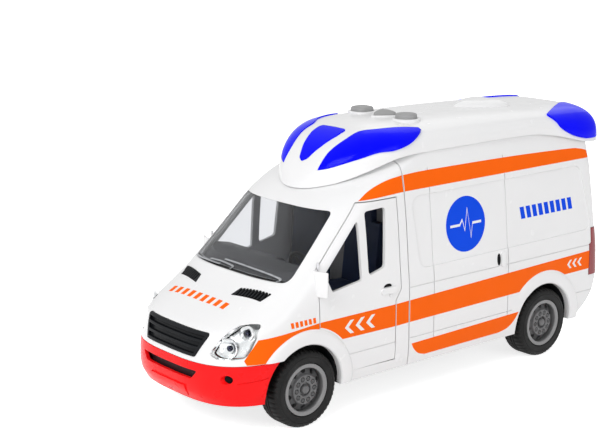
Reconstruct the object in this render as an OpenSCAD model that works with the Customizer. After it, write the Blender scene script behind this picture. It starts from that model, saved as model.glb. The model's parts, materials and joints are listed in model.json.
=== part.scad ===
// Toy ambulance: a hollow van body of two mouldings and a roof cap on a rolling chassis.
// Axes: x forward, y to the left, z up. The ground is z = 0.
// The origin lies under the middle of the body.

/* [Body] */
// Length over the front bumper and the rear doors
body_l = 272; // [262:1:284]
// Width over the body sides
body_w = 92; // [89:1:96]
// Height of the flat roof deck above the ground
deck_z = 126; // [123:1:129]
// Height of the lower edge of the sills above the ground
sill_z = 17; // [16:0.5:18]
// Thickness of the moulded body walls
wall = 1.8; // [1.6:0.1:2]
// Place of the joint between the cab and the box, as a share of half the length
joint_share = 0.13456; // [0.125:0.00001:0.143]
// Width of the joint between the cab and the box
joint_gap = 0.6; // [0.3:0.1:0.8]
// Length of the rounding at the rear corners
rear_round = 9; // [8:0.5:10]
// Distance left between neighbours that do not move
fit_gap = 0.3; // [0.2:0.05:0.4]
// Length by which a cut runs past what it cuts
overrun = 3; // [2:0.5:4]

/* [Wheels] */
// Distance between the two axles, as a share of the length
wheelbase_share = 0.63235; // [0.62:0.00001:0.645]
// Outer diameter of the tyres
tyre_d = 38.6; // [37.6:0.1:39.4]
// Width of the tyres
tyre_w = 13.9; // [12.5:0.1:14.5]
// Diameter of the rims where the tyres sit
rim_d = 26; // [25:0.1:27]
// Thickness of the rim barrel and of the rim web
rim_t = 1.5; // [1.2:0.1:1.8]
// Distance of the tyre's outer face inside the body side
wheel_in = 0.2; // [0:0.1:0.8]
// Diameter of the axles
axle_d = 3; // [2.6:0.1:3.4]
// Radial gap between an axle and its carriers
axle_gap = 0.06; // [0.03:0.01:0.1]
// Radial gap of pressed seats on an axle or a rim
seat_gap = 0.02; // [0.01:0.01:0.03]
// Radial gap between a tyre and its arch
arch_gap = 3.2; // [2.8:0.1:3.8]
// Width of the raised band round an arch
flare_w = 7; // [5.5:0.5:8]
// Height of the raised band over the body side
flare_t = 0.9; // [0.6:0.1:1.2]
// Number of openings and of nuts in a rim
rim_n = 10; // [8:1:12]

/* [Front] */
// Height of the top edge of the bumper
bumper_top_z = 37; // [36:0.5:38]
// Height by which the bumper stands out of the body form
bumper_out = 0; // [0:0.1:0.2]
// Extra radius of the arch in the bumper
bumper_arch = 1.5; // [1:0.1:2]
// Radius of the round holes for the fog lamps
fog_r = 2.2; // [1.8:0.1:2.6]
// Rounding of the corners of front openings
front_round = 1.6; // [1.2:0.1:2]
// Thickness of clear lenses
lens_t = 1; // [0.8:0.1:1.2]
// Rounding of the corners of the windscreen
screen_round = 3; // [2:0.5:4]
// Thickness of the windscreen
screen_t = 1.1; // [0.9:0.1:1.3]
// Width of the moulded wiper blades
wiper_w = 1; // [0.8:0.1:1.4]

/* [Doors] */
// Place of the front edge of the cab doors, as a share of half the length
door_front_share = 0.57206; // [0.566:0.00001:0.576]
// Place of the rear edge of the cab doors, as a share of half the length
door_rear_share = 0.20588; // [0.2:0.00001:0.213]
// Height of the lower edge of the cab doors
door_low_z = 22.8; // [22:0.1:24]
// Height of the upper edge of the cab doors
door_high_z = 105; // [104:0.1:106]
// Height at which the front edge of a cab door starts to lean back
door_pillar_z = 76.6; // [76:0.1:77.4]
// Place at which the leaning edge meets the upper edge, as a share of half the length
door_top_share = 0.36029; // [0.353:0.00001:0.367]
// Gap round the doors
door_gap = 0.5; // [0.4:0.05:0.6]
// Gap at the hinged edge of the cab doors
hinge_gap = 1; // [0.9:0.1:1.2]
// Gap at the hinged edge of the rear doors
leaf_gap = 1.3; // [1.2:0.1:1.5]
// Radius of the hinge pins
pin_r = 0.55; // [0.5:0.05:0.6]
// Radial gap between a hinge pin and its sockets
pin_gap = 0.12; // [0.08:0.02:0.14]
// Length of a hinge pin past the door at either end
pin_end = 2.2; // [1.8:0.1:2.6]
// Radius of the barrel round a hinge pin
barrel_r = 1.5; // [1.3:0.1:1.6]
// Rounding of the corners of the cab windows
window_round = 2; // [1.5:0.5:2.5]
// Height of the lower edge of the rear doors
leaf_low_z = 38.5; // [37.5:0.1:39.5]
// Height of the upper edge of the rear doors
leaf_high_z = 106.5; // [105:0.1:107.5]
// Half width of the rear doors at the lower edge, as a share of half the width
leaf_low_share = 0.82609; // [0.805:0.00001:0.839]
// Half width of the rear doors at the upper edge, as a share of half the width
leaf_high_share = 0.75217; // [0.74:0.00001:0.76]

/* [Roof] */
// Thickness of the roof cap and of the tinted lenses
cap_wall = 1.8; // [1.6:0.1:2]
// Height by which the lenses stand out of the cap
lens_out = 0.8; // [0.5:0.1:1]
// Diameter of the roof buttons
button_d = 11.4; // [10.6:0.1:12]
// Distance between neighbouring roof buttons, as a share of half the width
button_pitch_share = 0.36957; // [0.357:0.00001:0.391]
// Place of the row of roof buttons
button_x = -5; // [-8:0.5:-3]
// Height of a roof button over its bezel
button_h = 2.6; // [2.2:0.1:3]
// Travel of a roof button
button_travel = 1.5; // [1.2:0.1:1.7]
// Gap round a roof button
button_gap = 0.35; // [0.3:0.05:0.45]
// Width of the bezel round a roof button
bezel_w = 1.4; // [1:0.1:1.8]
// Height of the bezel over the cap
bezel_h = 0.7; // [0.5:0.1:1]

/* [Chassis] */
// Thickness of the chassis plate
plate_t = 2; // [1.8:0.1:2.4]
// Thickness of the wheel wells
well_t = 1.4; // [1.2:0.1:1.6]
// Thickness of the floors
floor_t = 1.6; // [1.4:0.1:1.8]
// Diameter of the button cells
cell_d = 11.6; // [11.2:0.1:12]
// Height of the button cells
cell_h = 5.4; // [5:0.1:5.6]
// Diameter of the speaker
speaker_d = 28; // [26:0.5:30]
// Radius of the screw shanks
screw_r = 1.2; // [1:0.1:1.3]

/* [Friction motor] */
// Module of the gears
gear_m = 0.6; // [0.58:0.01:0.62]
// Width of the gear on the axle
gear_w = 3; // [2.6:0.1:3.2]
// Play between meshing teeth
gear_play = 0.16; // [0.12:0.02:0.2]
// Radius of the motor shafts
shaft_r = 1; // [0.9:0.05:1.05]
// Thickness of the flywheel
wheel_t = 3.2; // [2.6:0.1:3.3]

/* [Hidden] */
$fn = 32;

half_l = body_l / 2;
half_w = body_w / 2;
wheelbase = wheelbase_share * body_l;
joint_x = joint_share * half_l;
door_front_x = door_front_share * half_l;
door_rear_x = door_rear_share * half_l;
door_top_x = door_top_share * half_l;
leaf_low_y = leaf_low_share * half_w;
leaf_high_y = leaf_high_share * half_w;
button_pitch = button_pitch_share * half_w;
axle_z = tyre_d / 2;
front_x0 = wheelbase / 2;
rear_x0 = -wheelbase / 2;
axle_r = axle_d / 2;
arch_r = tyre_d / 2 + arch_gap;
flare_r = arch_r + flare_w;
wheel_out_y = half_w - wheel_in;
wheel_in_y = wheel_out_y - tyre_w;
plate_z = sill_z + plate_t;
floor_z = axle_z + arch_r + well_t + fit_gap;
inside = wall + 4 * fit_gap;

// The body form: shares of deck height, half length, half length, half width and half length.
// Each row holds the height, front end, length of the nose rounding, half width and rear end.
body_shares = [
    [0.135, 0.974, 0.294, 0.974, 0.875], [0.175, 0.994, 0.316, 0.991, 0.926],
    [0.230, 1.000, 0.338, 1.000, 0.973], [0.294, 0.995, 0.338, 1.000, 0.997],
    [0.325, 0.987, 0.338, 1.000, 1.000], [0.373, 0.971, 0.324, 1.000, 0.9985],
    [0.409, 0.952, 0.309, 1.000, 0.996], [0.4325, 0.919, 0.294, 1.000, 0.995],
    [0.480, 0.840, 0.250, 0.993, 0.993], [0.524, 0.772, 0.210, 0.983, 0.990],
    [0.5595, 0.725, 0.184, 0.972, 0.988], [0.595, 0.686, 0.184, 0.963, 0.986],
    [0.698, 0.588, 0.199, 0.937, 0.980], [0.802, 0.493, 0.213, 0.904, 0.973],
    [0.833, 0.456, 0.213, 0.893, 0.971], [0.865, 0.408, 0.206, 0.878, 0.968],
    [0.897, 0.342, 0.191, 0.861, 0.965], [0.929, 0.272, 0.176, 0.843, 0.962],
    [0.960, 0.202, 0.162, 0.820, 0.959], [1.000, 0.088, 0.147, 0.787, 0.956]];
// Heights of the rings of the body form, as shares from sill to deck: outside, inside and along the box
level_shares = [
    0, 0.037, 0.083, 0.128, 0.1835, 0.2385, 0.289, 0.3165, 0.332, 0.3505, 0.385, 0.431, 0.491, 0.514,
    0.578, 0.670, 0.7705, 0.803, 0.835, 0.8715, 0.908, 0.945, 0.9725, 1];
inner_shares = [0, 0.083, 0.1835, 0.289, 0.332, 0.385, 0.491, 0.514, 0.7705, 0.835, 0.908, 0.9725, 1];
box_shares = [
    0, 0.037, 0.083, 0.128, 0.1835, 0.2385, 0.3165, 0.42, 0.55, 0.70, 0.80, 0.8715, 0.9365, 1];
nose_power = 3;
tail_power = 3;
nose_n = 20;
inner_n = 14;
tail_n = 8;
box_n = 6;

// The roof cap: shares of half length, deck height, deck height and half width.
// Each row holds the place along the body, the base height, the top height and the half width.
cap_shares = [
    [-0.9897, 0.9333, 1.0437, 0.793], [-0.9838, 0.9310, 1.0635, 0.843],
    [-0.9706, 0.9286, 1.0778, 0.876], [-0.9412, 0.9286, 1.0841, 0.900],
    [-0.8971, 0.9325, 1.0865, 0.911], [-0.8456, 0.9444, 1.0873, 0.904],
    [-0.7132, 0.9778, 1.0905, 0.874], [-0.5882, 0.9952, 1.0952, 0.848],
    [-0.2941, 0.9952, 1.1016, 0.826], [0.0368, 0.9905, 1.1000, 0.817], [0.1471, 0.9794, 1.0921, 0.800],
    [0.2206, 0.9524, 1.0762, 0.739], [0.2794, 0.9254, 1.0508, 0.652], [0.3309, 0.9008, 1.0143, 0.543],
    [0.3676, 0.8833, 0.9738, 0.435], [0.3971, 0.8714, 0.9325, 0.315], [0.4191, 0.8635, 0.8929, 0.174],
    [0.4301, 0.8611, 0.8690, 0.043]];
// Places of the cap's sections, as shares of its length from the rear: outside and inside
station_shares = [
    0, 0.004, 0.0135, 0.034, 0.066, 0.102, 0.148, 0.195, 0.283, 0.49, 0.723, 0.764, 0.801, 0.826,
    0.852, 0.894, 0.930, 0.956, 0.977, 0.992, 1];
cavity_shares = [0, 0.034, 0.102, 0.195, 0.283, 0.723, 0.801, 0.852, 0.930, 0.977, 1];
cap_power = 3.4;
cap_n = 18;
cavity_n = 12;
cap_rear_x = half_l * cap_shares[0][0];
cap_nose_x = half_l * cap_shares[len(cap_shares) - 1][0];
cap_skirt = 2 * wall;

white = [0.96, 0.96, 0.96];
red = [0.9, 0.12, 0.1];
black = [0.06, 0.06, 0.07];
dark = [0.16, 0.17, 0.2];
grey = [0.55, 0.55, 0.55];
steel = [0.72, 0.73, 0.75];
blue = [0.05, 0.1, 0.85, 0.9];
clear = [0.85, 0.9, 0.95, 0.4];
chrome = [0.8, 0.8, 0.82];

// Smooth reading of a table: column c at the value v of the first column
function pick(rows, v, i = 0) = (i >= len(rows) - 2 || v < rows[i + 1][0]) ? i : pick(rows, v, i + 1);
function grade(rows, k, c) = let (lo = max(k - 1, 0), hi = min(k + 1, len(rows) - 1))
    (rows[hi][c] - rows[lo][c]) / (rows[hi][0] - rows[lo][0]);
function blend(t, p, q, m, n) =
    (2 * t * t * t - 3 * t * t + 1) * p + (t * t * t - 2 * t * t + t) * m
    + (3 * t * t - 2 * t * t * t) * q + (t * t * t - t * t) * n;
function flow(rows, v, c) = let (i = pick(rows, v), h = rows[i + 1][0] - rows[i][0],
    t = max(0, min(1, (v - rows[i][0]) / h)))
    blend(t, rows[i][c], rows[i + 1][c], grade(rows, i, c) * h, grade(rows, i + 1, c) * h);
function mix(a, b, t) = a + (b - a) * t;
function bulge(u, p) = pow(max(0, 1 - pow(min(1, abs(u)), p)), 1 / p);
function root(u, p) = sign(u) * pow(abs(u), 2 / p);

// The body form at height z, inset by t
function nose_x(z, t) = half_l * flow(body_shares, (z + t) / deck_z, 1) - t;
function nose_l(z, t) = half_l * flow(body_shares, z / deck_z, 2) - t;
function side_y(z, t) = half_w * flow(body_shares, z / deck_z, 3) - t;
function tail_x(z, t) = t - half_l * flow(body_shares, z / deck_z, 4);
function back_x(y, z, t) = tail_x(z, t) + (rear_round - t) * (1 - bulge(y / side_y(z, t), tail_power));
function arc_x(i, n, p) = 1 - root(abs(cos(180 * i / n - 90)), p);
function arc_y(i, n, p) = root(sin(180 * i / n - 90), p);
function ring(z, t, n = nose_n) = let (x0 = nose_x(z, t), l = nose_l(z, t), x1 = tail_x(z, t),
    y = side_y(z, t))
    concat([for (i = [0 : n]) [x0 - l * arc_x(i, n, nose_power), y * arc_y(i, n, nose_power), z]],
        [for (i = [0 : tail_n]) [x1 + (rear_round - t) * arc_x(i, tail_n, tail_power),
            -y * arc_y(i, tail_n, tail_power), z]]);

// The roof cap's section at x, inset by t and lengthened downwards by s
function cap_at(x, t) = (x > 0 ? x + t : x - t) / half_l;
function cap_low(x) = deck_z * flow(cap_shares, x / half_l, 1);
function cap_top(x, t) = deck_z * flow(cap_shares, cap_at(x, t), 2) - t;
function cap_y(x, t) = max(half_w * flow(cap_shares, cap_at(x, t), 3) - t, fit_gap);
function cap_ring(x, t, s, n) = let (low = cap_low(x) - s, top = max(cap_top(x, t), low + fit_gap))
    [for (i = [0 : n]) let (a = 180 * i / n)
        [x, cap_y(x, t) * root(cos(a), cap_power), mix(low, top, root(sin(a), cap_power))]];

module slab(a, b) {
    hull() polyhedron(points = concat(a, b),
        faces = [[for (i = [0 : len(a) - 1]) i], [for (i = [0 : len(b) - 1]) len(a) + i]]);
}

module body_form(t, low, high, shares = level_shares, n = nose_n) {
    for (i = [0 : len(shares) - 2])
        slab(ring(mix(low, high, shares[i]), t, n), ring(mix(low, high, shares[i + 1]), t, n));
}

// The inside of the body at an inset, open below
module body_void(t, shares = inner_shares) {
    body_form(t, sill_z - overrun, deck_z - wall, shares, inner_n);
}

module cap_form(t, s, shares = station_shares, n = cap_n) {
    for (i = [0 : len(shares) - 2])
        slab(cap_ring(mix(cap_rear_x + t, cap_nose_x - t, shares[i]), t, s, n),
            cap_ring(mix(cap_rear_x + t, cap_nose_x - t, shares[i + 1]), t, s, n));
}

// A layer of the body between two insets, of the cab and of the box
module skin(t0, t1) {
    difference() {
        body_form(t0, sill_z, deck_z);
        body_void(t1);
    }
}

module box_skin(t0, t1) {
    difference() {
        body_form(t0, sill_z, deck_z, box_shares, box_n);
        body_void(t1, box_shares);
    }
}

// Prisms from outlines seen from the left, from the front, from the rear and from above
module from_left() {
    translate([0, body_w, 0]) rotate([90, 0, 0]) linear_extrude(body_w) children();
}

module from_front() {
    rotate([90, 0, 90]) linear_extrude(body_l) children();
}

module from_rear() {
    mirror([1, 0, 0]) from_front() children();
}

module from_top() {
    linear_extrude(2 * deck_z) children();
}

module both() {
    children();
    mirror([0, 1, 0]) children();
}

module tube_y(x, z, r) {
    translate([x, body_w, z]) rotate([90, 0, 0]) cylinder(r = r, h = 2 * body_w, $fn = 48);
}

module soft(r) {
    offset(r = r, $fn = 16) offset(delta = -r) children();
}

// Everything ahead of x
module ahead(x) {
    translate([x, -body_w, -deck_z]) cube([2 * body_l, 2 * body_w, 3 * deck_z]);
}

module behind(x) {
    mirror([1, 0, 0]) ahead(-x);
}

module flare(x) {
    intersection() {
        skin(-flare_t, wall / 2);
        tube_y(x, axle_z, flare_r);
    }
}

// Places inside a rectangle that goes from low to high, by shares
function placed(low, high, shares) = [for (s = shares) [mix(low[0], high[0], s[0]),
    mix(low[1], high[1], s[1])]];

// A piece laid along the line from p to q, as its own z axis
module along(p, q) {
    v = q - p;
    translate(p) rotate([0, acos(v[2] / norm(v)), atan2(v[1], v[0])]) children();
}

// Front openings, as half widths and heights
grille_low_z = bumper_top_z + 0.02 * deck_z;
grille_high_z = 0.4065 * deck_z;
grille_low_y = 0.435 * half_w;
grille_high_y = 0.555 * half_w;
module grille_outline() {
    soft(front_round) polygon([[-grille_low_y, grille_low_z], [grille_low_y, grille_low_z],
        [grille_high_y, grille_high_z], [-grille_high_y, grille_high_z]]);
}

lamp_shares = [
    [0.592, 0.333], [0.737, 0.437], [0.820, 0.444], [0.893, 0.4445], [0.921, 0.398], [0.907, 0.347],
    [0.885, 0.3235], [0.793, 0.3195], [0.676, 0.3195]];
module lamp_outline() {
    soft(front_round / 2) polygon(placed([0, 0], [half_w, deck_z], lamp_shares));
}

lamp_back_x = 0.77 * half_l;
module lamp_prism(inset) {
    translate([lamp_back_x, 0, 0]) from_front() offset(delta = -inset) lamp_outline();
}

screen_low_z = 0.567 * deck_z;
screen_high_z = 0.8085 * deck_z;
screen_low_y = 0.818 * half_w;
screen_high_y = 0.734 * half_w;
module screen_outline() {
    soft(screen_round) polygon([[-screen_low_y, screen_low_z], [screen_low_y, screen_low_z],
        [screen_high_y, screen_high_z], [-screen_high_y, screen_high_z]]);
}

vent_shares = [[0.757, 0.358], [0.724, 0.752], [0.764, 0.712], [0.792, 0.315]];
module vent_outline() {
    polygon(placed([0, 0], [half_l, half_w], vent_shares));
}

slot_low_z = 0.2285 * deck_z;
slot_high_z = 0.2635 * deck_z;
slot_low_y = 0.405 * half_w;
slot_high_y = 0.49 * half_w;
module slot_outline() {
    soft(front_round / 2) polygon([[-slot_low_y, slot_low_z], [slot_low_y, slot_low_z],
        [slot_high_y, slot_high_z], [-slot_high_y, slot_high_z]]);
}

fog_y = 0.783 * half_w;
fog_z = 0.2445 * deck_z;
pad_low_z = 0.170 * deck_z;
pad_high_z = 0.210 * deck_z;
pad_y = 0.34 * half_w;
pad_out = 0.5 * flare_t;

// Cab door outline and its windows, seen from the left
module door_outline() {
    difference() {
        polygon([[door_rear_x, door_low_z], [door_front_x, door_low_z], [door_front_x, door_pillar_z],
            [door_top_x, door_high_z], [door_rear_x, door_high_z]]);
        translate([front_x0, axle_z]) circle(r = flare_r + door_gap, $fn = 64);
    }
}

module door_hole() {
    offset(delta = door_gap) door_outline();
    translate([door_front_x - hinge_gap, axle_z + arch_r])
        square([2 * hinge_gap, door_pillar_z - axle_z - arch_r]);
}

quarter_shares = [[0.914, 0.629], [0.826, 0.517], [0.466, 0.5705], [0.516, 0.900]];
pane_shares = [[0.398, 0.954], [0.144, 0.966], [0.160, 0.596], [0.338, 0.5815]];
module door_windows() {
    soft(window_round / 2) polygon(placed([door_rear_x, door_low_z], [door_front_x, door_high_z],
        quarter_shares));
    soft(window_round) polygon(placed([door_rear_x, door_low_z], [door_front_x, door_high_z],
        pane_shares));
}

// Hinge lines of the left cab door and of the left rear door
hinge_in = 0.5 * wall;
hinge_x = door_front_x - hinge_in;
hinge_low_z = axle_z + flare_r - 2 * pin_end + wall;
hinge_high_z = door_pillar_z + wall;
hinge_low = [hinge_x, side_y(hinge_low_z, hinge_in), hinge_low_z];
hinge_high = [hinge_x, side_y(hinge_high_z, hinge_in), hinge_high_z];
leaf_in = 0.8 * wall;
leaf_low = [back_x(leaf_low_y - hinge_in, leaf_low_z, leaf_in), leaf_low_y - hinge_in, leaf_low_z];
leaf_high = [back_x(leaf_high_y - hinge_in, leaf_high_z, leaf_in), leaf_high_y - hinge_in, leaf_high_z];

module cab_pin(r, grow) {
    along(hinge_low, hinge_high) translate([0, 0, -pin_end - grow])
        cylinder(r = r, h = norm(hinge_high - hinge_low) + 2 * pin_end + 2 * grow, $fn = 16);
}

module leaf_pin(r, grow) {
    along(leaf_low, leaf_high) translate([0, 0, -pin_end - grow])
        cylinder(r = r, h = norm(leaf_high - leaf_low) + 2 * pin_end + 2 * grow, $fn = 16);
}

module leaf_outline() {
    polygon([[-leaf_low_y, leaf_low_z], [-door_gap / 2, leaf_low_z], [-door_gap / 2, leaf_high_z],
        [-leaf_high_y, leaf_high_z]]);
}

// Screw places under the cab, the box and the bumper
boss_r = 3.2 * screw_r;
boss_in = wall + 2 * screw_r + fit_gap;
screw_places = [
    [0.164 * half_l, side_y(plate_z, boss_in)], [-0.26 * half_l, side_y(plate_z, boss_in)],
    [0.80 * half_l, 0.45 * half_w]];
screw_l = 11 * screw_r;

module at_screws(k) {
    for (i = k) both() translate([screw_places[i][0], screw_places[i][1], 0]) children();
}

module boss(top) {
    difference() {
        translate([0, 0, plate_z + fit_gap]) cylinder(r = boss_r, h = top - plate_z - fit_gap, $fn = 20);
        translate([0, 0, plate_z]) cylinder(r = screw_r + seat_gap, h = screw_l, $fn = 20);
    }
}

// Raised and cut lines on the box side
side_recess = 0.5;
line_w = 0.5;
recess_shares = [[0.104, 0.825], [0.072, 0.530], [-0.925, 0.535], [-0.862, 0.829]];
line_x_shares = [0.0147, -0.412];
line_z_shares = [0.25, 0.462];
module side_lines() {
    for (x = line_x_shares) translate([x * half_l, sill_z + 0.085 * deck_z])
        square([line_w, 0.71 * deck_z]);
    for (z = line_z_shares) translate([-half_l, z * deck_z]) square([half_l + joint_x, line_w]);
}

module side_recesses() {
    soft(3 * window_round) polygon(placed([0, 0], [half_l, deck_z], recess_shares));
}

tail_shares = [
    [-1.1, 0.325], [-0.9375, 0.325], [-0.9375, 0.468], [-0.915, 0.476], [-0.915, 0.54], [-1.1, 0.54]];
module tail_outline() {
    polygon(placed([0, 0], [half_l, deck_z], tail_shares));
}

module grip_outline(x, z, l, h) {
    translate([x, z]) offset(r = h / 2) square([max(l - h, fit_gap), fit_gap], center = true);
}

module cab_shell() color(white) difference() {
    union() {
        skin(0, wall);
        flare(front_x0);
        intersection() {
            body_form(0, sill_z, deck_z);
            both() {
                cab_pin(barrel_r, 0);
            }
        }
        intersection() {
            body_form(wall / 2, sill_z, deck_z);
            at_screws([0]) boss(floor_z);
        }
    }
    behind(joint_x + joint_gap / 2);
    intersection() {
        ahead(front_x0);
        translate([0, 0, bumper_top_z + fit_gap - 2 * deck_z]) linear_extrude(2 * deck_z)
            square(4 * body_l, center = true);
    }
    tube_y(front_x0, axle_z, arch_r);
    both() {
        from_left() door_hole();
        cab_pin(pin_r + pin_gap, pin_gap);
        lamp_prism(0);
        from_top() vent_outline();
    }
    translate([half_l / 8, 0, 0]) from_front() screen_outline();
    translate([half_l / 2, 0, 0]) from_front() grille_outline();
}

module box_shell() color(white) difference() {
    union() {
        box_skin(0, wall);
        flare(rear_x0);
        intersection() {
            body_form(wall / 2, sill_z, deck_z, box_shares, box_n);
            at_screws([1]) boss(floor_z);
        }
        intersection() {
            body_form(0, sill_z, deck_z, box_shares, box_n);
            both() leaf_pin(barrel_r, 0);
            behind(rear_x0);
        }
        both() intersection() {
            box_skin(-flare_t, wall / 2);
            from_left() grip_outline(-0.368 * half_l, 0.492 * deck_z, 0.011 * half_l, 0.060 * deck_z);
        }
    }
    ahead(joint_x - joint_gap / 2);
    tube_y(rear_x0, axle_z, arch_r);
    both() {
        intersection() {
            union() {
                intersection() {
                    box_skin(-overrun, side_recess);
                    from_left() side_recesses();
                }
                intersection() {
                    box_skin(-overrun, side_recess + line_w);
                    from_left() side_lines();
                }
            }
            behind(joint_x);
            difference() {
                body_form(-overrun, sill_z, deck_z, box_shares, box_n);
                tube_y(rear_x0, axle_z, flare_r);
                translate([-half_l * 0.368, 0, deck_z * 0.492])
                    cube([0.05 * half_l, 2 * body_w, 0.08 * deck_z], center = true);
            }
        }
        intersection() {
            box_skin(-overrun, lens_t);
            from_left() tail_outline();
            behind(rear_x0);
            difference() {
                body_form(-overrun, sill_z, deck_z, box_shares, box_n);
                translate([-2 * body_l, leaf_low_y + 3 * hinge_gap - 2 * body_w, 0])
                    cube([4 * body_l, 2 * body_w, deck_z]);
            }
        }
        from_rear() {
            offset(delta = door_gap) leaf_outline();
            translate([-leaf_gap, 0]) leaf_outline();
        }
        leaf_pin(pin_r + pin_gap, pin_gap);
    }
    translate([wire_x, 0, floor_z]) cylinder(r = 3 * wire_r, h = deck_z);
}

// Lens outlines on the roof cap: the inner edge seen from above and the lower edge seen from the left
front_inner_shares = [
    [0.3875, 0.287], [0.344, 0.300], [0.328, 0.313], [0.269, 0.367], [0.207, 0.393], [0.151, 0.509],
    [0.070, 0.602], [0, 0.678], [0, 1.2], [0.5, 1.2], [0.5, 0.28]];
front_lower_shares = [
    [0.392, 0.934], [0.362, 0.949], [0.321, 0.971], [0.273, 0.991], [0.218, 1.010], [0.157, 1.015],
    [0.089, 1.033], [0.029, 1.063], [0, 1.079], [0, 1.2], [0.5, 1.2]];
rear_inner_shares = [
    [-0.701, 0.752], [-0.76, 0.665], [-0.85, 0.52], [-0.94, 0.405], [-1.1, 0.372], [-1.1, 1.2],
    [-0.701, 1.2]];
rear_lower_shares = [
    [-0.690, 1.2], [-0.690, 1.072], [-0.721, 1.039], [-0.746, 1.007], [-0.807, 0.972], [-0.865, 0.954],
    [-0.918, 0.947], [-1.1, 0.947], [-1.1, 1.2]];
centre_shares = [
    [0.3795, 0], [0.369, 0.072], [0.325, 0.150], [0.268, 0.210], [0.231, 0.214], [0.2185, 0.190],
    [0.2165, 0], [0.2185, -0.190], [0.231, -0.214], [0.268, -0.210], [0.325, -0.150], [0.369, -0.072]];

module lens_zone(inner, lower, inset) {
    intersection() {
        from_left() offset(delta = -inset) polygon(placed([0, 0], [half_l, deck_z], lower));
        from_top() offset(delta = -inset) polygon(placed([0, 0], [half_l, half_w], inner));
    }
}

module front_zone(inset) {
    lens_zone(front_inner_shares, front_lower_shares, inset);
}

module rear_zone(inset) {
    lens_zone(rear_inner_shares, rear_lower_shares, inset);
}

module centre_zone(inset) {
    translate([0, 0, deck_z / 2]) from_top() offset(delta = -inset)
        polygon(placed([0, 0], [half_l, half_w], centre_shares));
}

// Outlines of the three buttons, from left to right
module button_outline(k) {
    if (k > 0) circle(d = button_d, $fn = 32);
    if (k == 0) soft(button_d / 5) circle(d = 1.46 * button_d, $fn = 3);
    if (k < 0) soft(button_d / 3) square(0.92 * button_d, center = true);
}

button_z = cap_top(button_x, 0) + bezel_h;
button_foot_z = cap_top(button_x, cap_wall) - 2.4 * button_travel;

module button_at(k) {
    translate([button_x, k * button_pitch, 0]) children();
}

pod_shares = [
    [-0.42, 0], [-0.53, 0.26], [-0.63, 0.31], [-0.665, 0.22], [-0.665, -0.22], [-0.63, -0.31],
    [-0.53, -0.26]];
pod_h = 0.031 * deck_z;
light_r = 0.055 * half_w;

// A pocket half as deep as the cap is thick, with a hole for the light behind it
module pocket() {
    difference() {
        children();
        cap_form(cap_wall / 2, overrun);
    }
}

light_shares = [[0.162, 0.60], [-0.882, 0.68]];
light_x_share = 0.29;
module light_hole(x, y) {
    translate([x * half_l, y * half_w, deck_z - 8 * wall]) cylinder(r = light_r, h = deck_z, $fn = 16);
}

module roof_cap() color(white) difference() {
    union() {
        cap_form(0, 0);
        for (k = [-1 : 1]) button_at(k) translate([0, 0, deck_z + 3 * cap_wall])
            linear_extrude(button_z - deck_z - 3 * cap_wall) offset(r = bezel_w, $fn = 20)
                button_outline(k);
        hull() {
            translate([0, 0, cap_top(-half_l / 2, 0) - cap_wall]) linear_extrude(cap_wall)
                soft(window_round) polygon(placed([0, 0], [half_l, half_w], pod_shares));
            translate([-0.585 * half_l, 0, cap_top(-half_l / 2, 0)]) linear_extrude(pod_h)
                soft(window_round) square([0.11 * half_l, 0.42 * half_w], center = true);
        }
    }
    cap_form(cap_wall, cap_skirt, cavity_shares, cavity_n);
    body_form(-fit_gap, sill_z, deck_z + fit_gap);
    both() {
        pocket() front_zone(0);
        pocket() rear_zone(0);
        for (p = light_shares) light_hole(p[0], p[1]);
    }
    pocket() centre_zone(0);
    light_hole(light_x_share, 0);
    for (k = [-1 : 1]) button_at(k) translate([0, 0, deck_z + fit_gap]) linear_extrude(deck_z)
        offset(r = button_gap, $fn = 24) button_outline(k);
}

module beacon() {
    color(blue) difference() {
        intersection() {
            cap_form(-lens_out, 0);
            children();
        }
        cap_form(cap_wall / 2 - fit_gap / 2, overrun);
    }
}

module beacon_front_left() {
    beacon() front_zone(fit_gap / 2);
}

module beacon_front_right() {
    mirror([0, 1, 0]) beacon_front_left();
}

module beacon_front_centre() {
    beacon() centre_zone(fit_gap / 2);
}

module beacon_rear_left() {
    beacon() rear_zone(fit_gap / 2);
}

module beacon_rear_right() {
    mirror([0, 1, 0]) beacon_rear_left();
}

module front_bumper() color(red) difference() {
    union() {
        intersection() {
            union() {
                skin(-bumper_out, wall);
                intersection() {
                    body_form(wall / 2, sill_z, deck_z);
                    translate([0, -body_w, bumper_top_z - wall]) cube([body_l, 2 * body_w, wall]);
                }
            }
            ahead(front_x0);
            translate([0, -body_w, 0]) cube([body_l, 2 * body_w, bumper_top_z]);
        }
        intersection() {
            skin(-pad_out, wall);
            from_front() soft(front_round) translate([-pad_y, pad_low_z])
                square([2 * pad_y, pad_high_z - pad_low_z]);
        }
        at_screws([2]) boss(bumper_top_z - wall / 2);
    }
    tube_y(front_x0, axle_z, arch_r + bumper_arch);
    translate([half_l / 2, 0, 0]) from_front() slot_outline();
    both() translate([half_l / 2, fog_y, fog_z]) rotate([0, 90, 0]) cylinder(r = fog_r, h = body_l);
}

module bumper_mesh() color(black) difference() {
    intersection() {
        difference() {
            body_void(wall + seat_gap);
            body_void(2 * wall + seat_gap);
        }
        translate([half_l / 2, 0, 0]) from_front() offset(delta = wall) slot_outline();
    }
    for (i = [-5 : 5]) translate([half_l / 2, i * slot_high_y / 6, mix(slot_low_z, slot_high_z, 0.5)])
        cube([body_l, slot_high_y / 9, slot_high_z - slot_low_z], center = true);
}

slat_shares = [0.2, 0.5, 0.8];
module radiator_grille() color(black) difference() {
    intersection() {
        skin(-fit_gap, wall);
        translate([half_l / 2, 0, 0]) from_front() offset(delta = -fit_gap / 2) grille_outline();
    }
    for (s = slat_shares) intersection() {
        skin(-overrun, wall / 2);
        translate([half_l / 2, -0.46 * half_w, mix(grille_low_z, grille_high_z, s) - 0.008 * deck_z])
            cube([half_l, 0.92 * half_w, 0.016 * deck_z]);
    }
}

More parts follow.
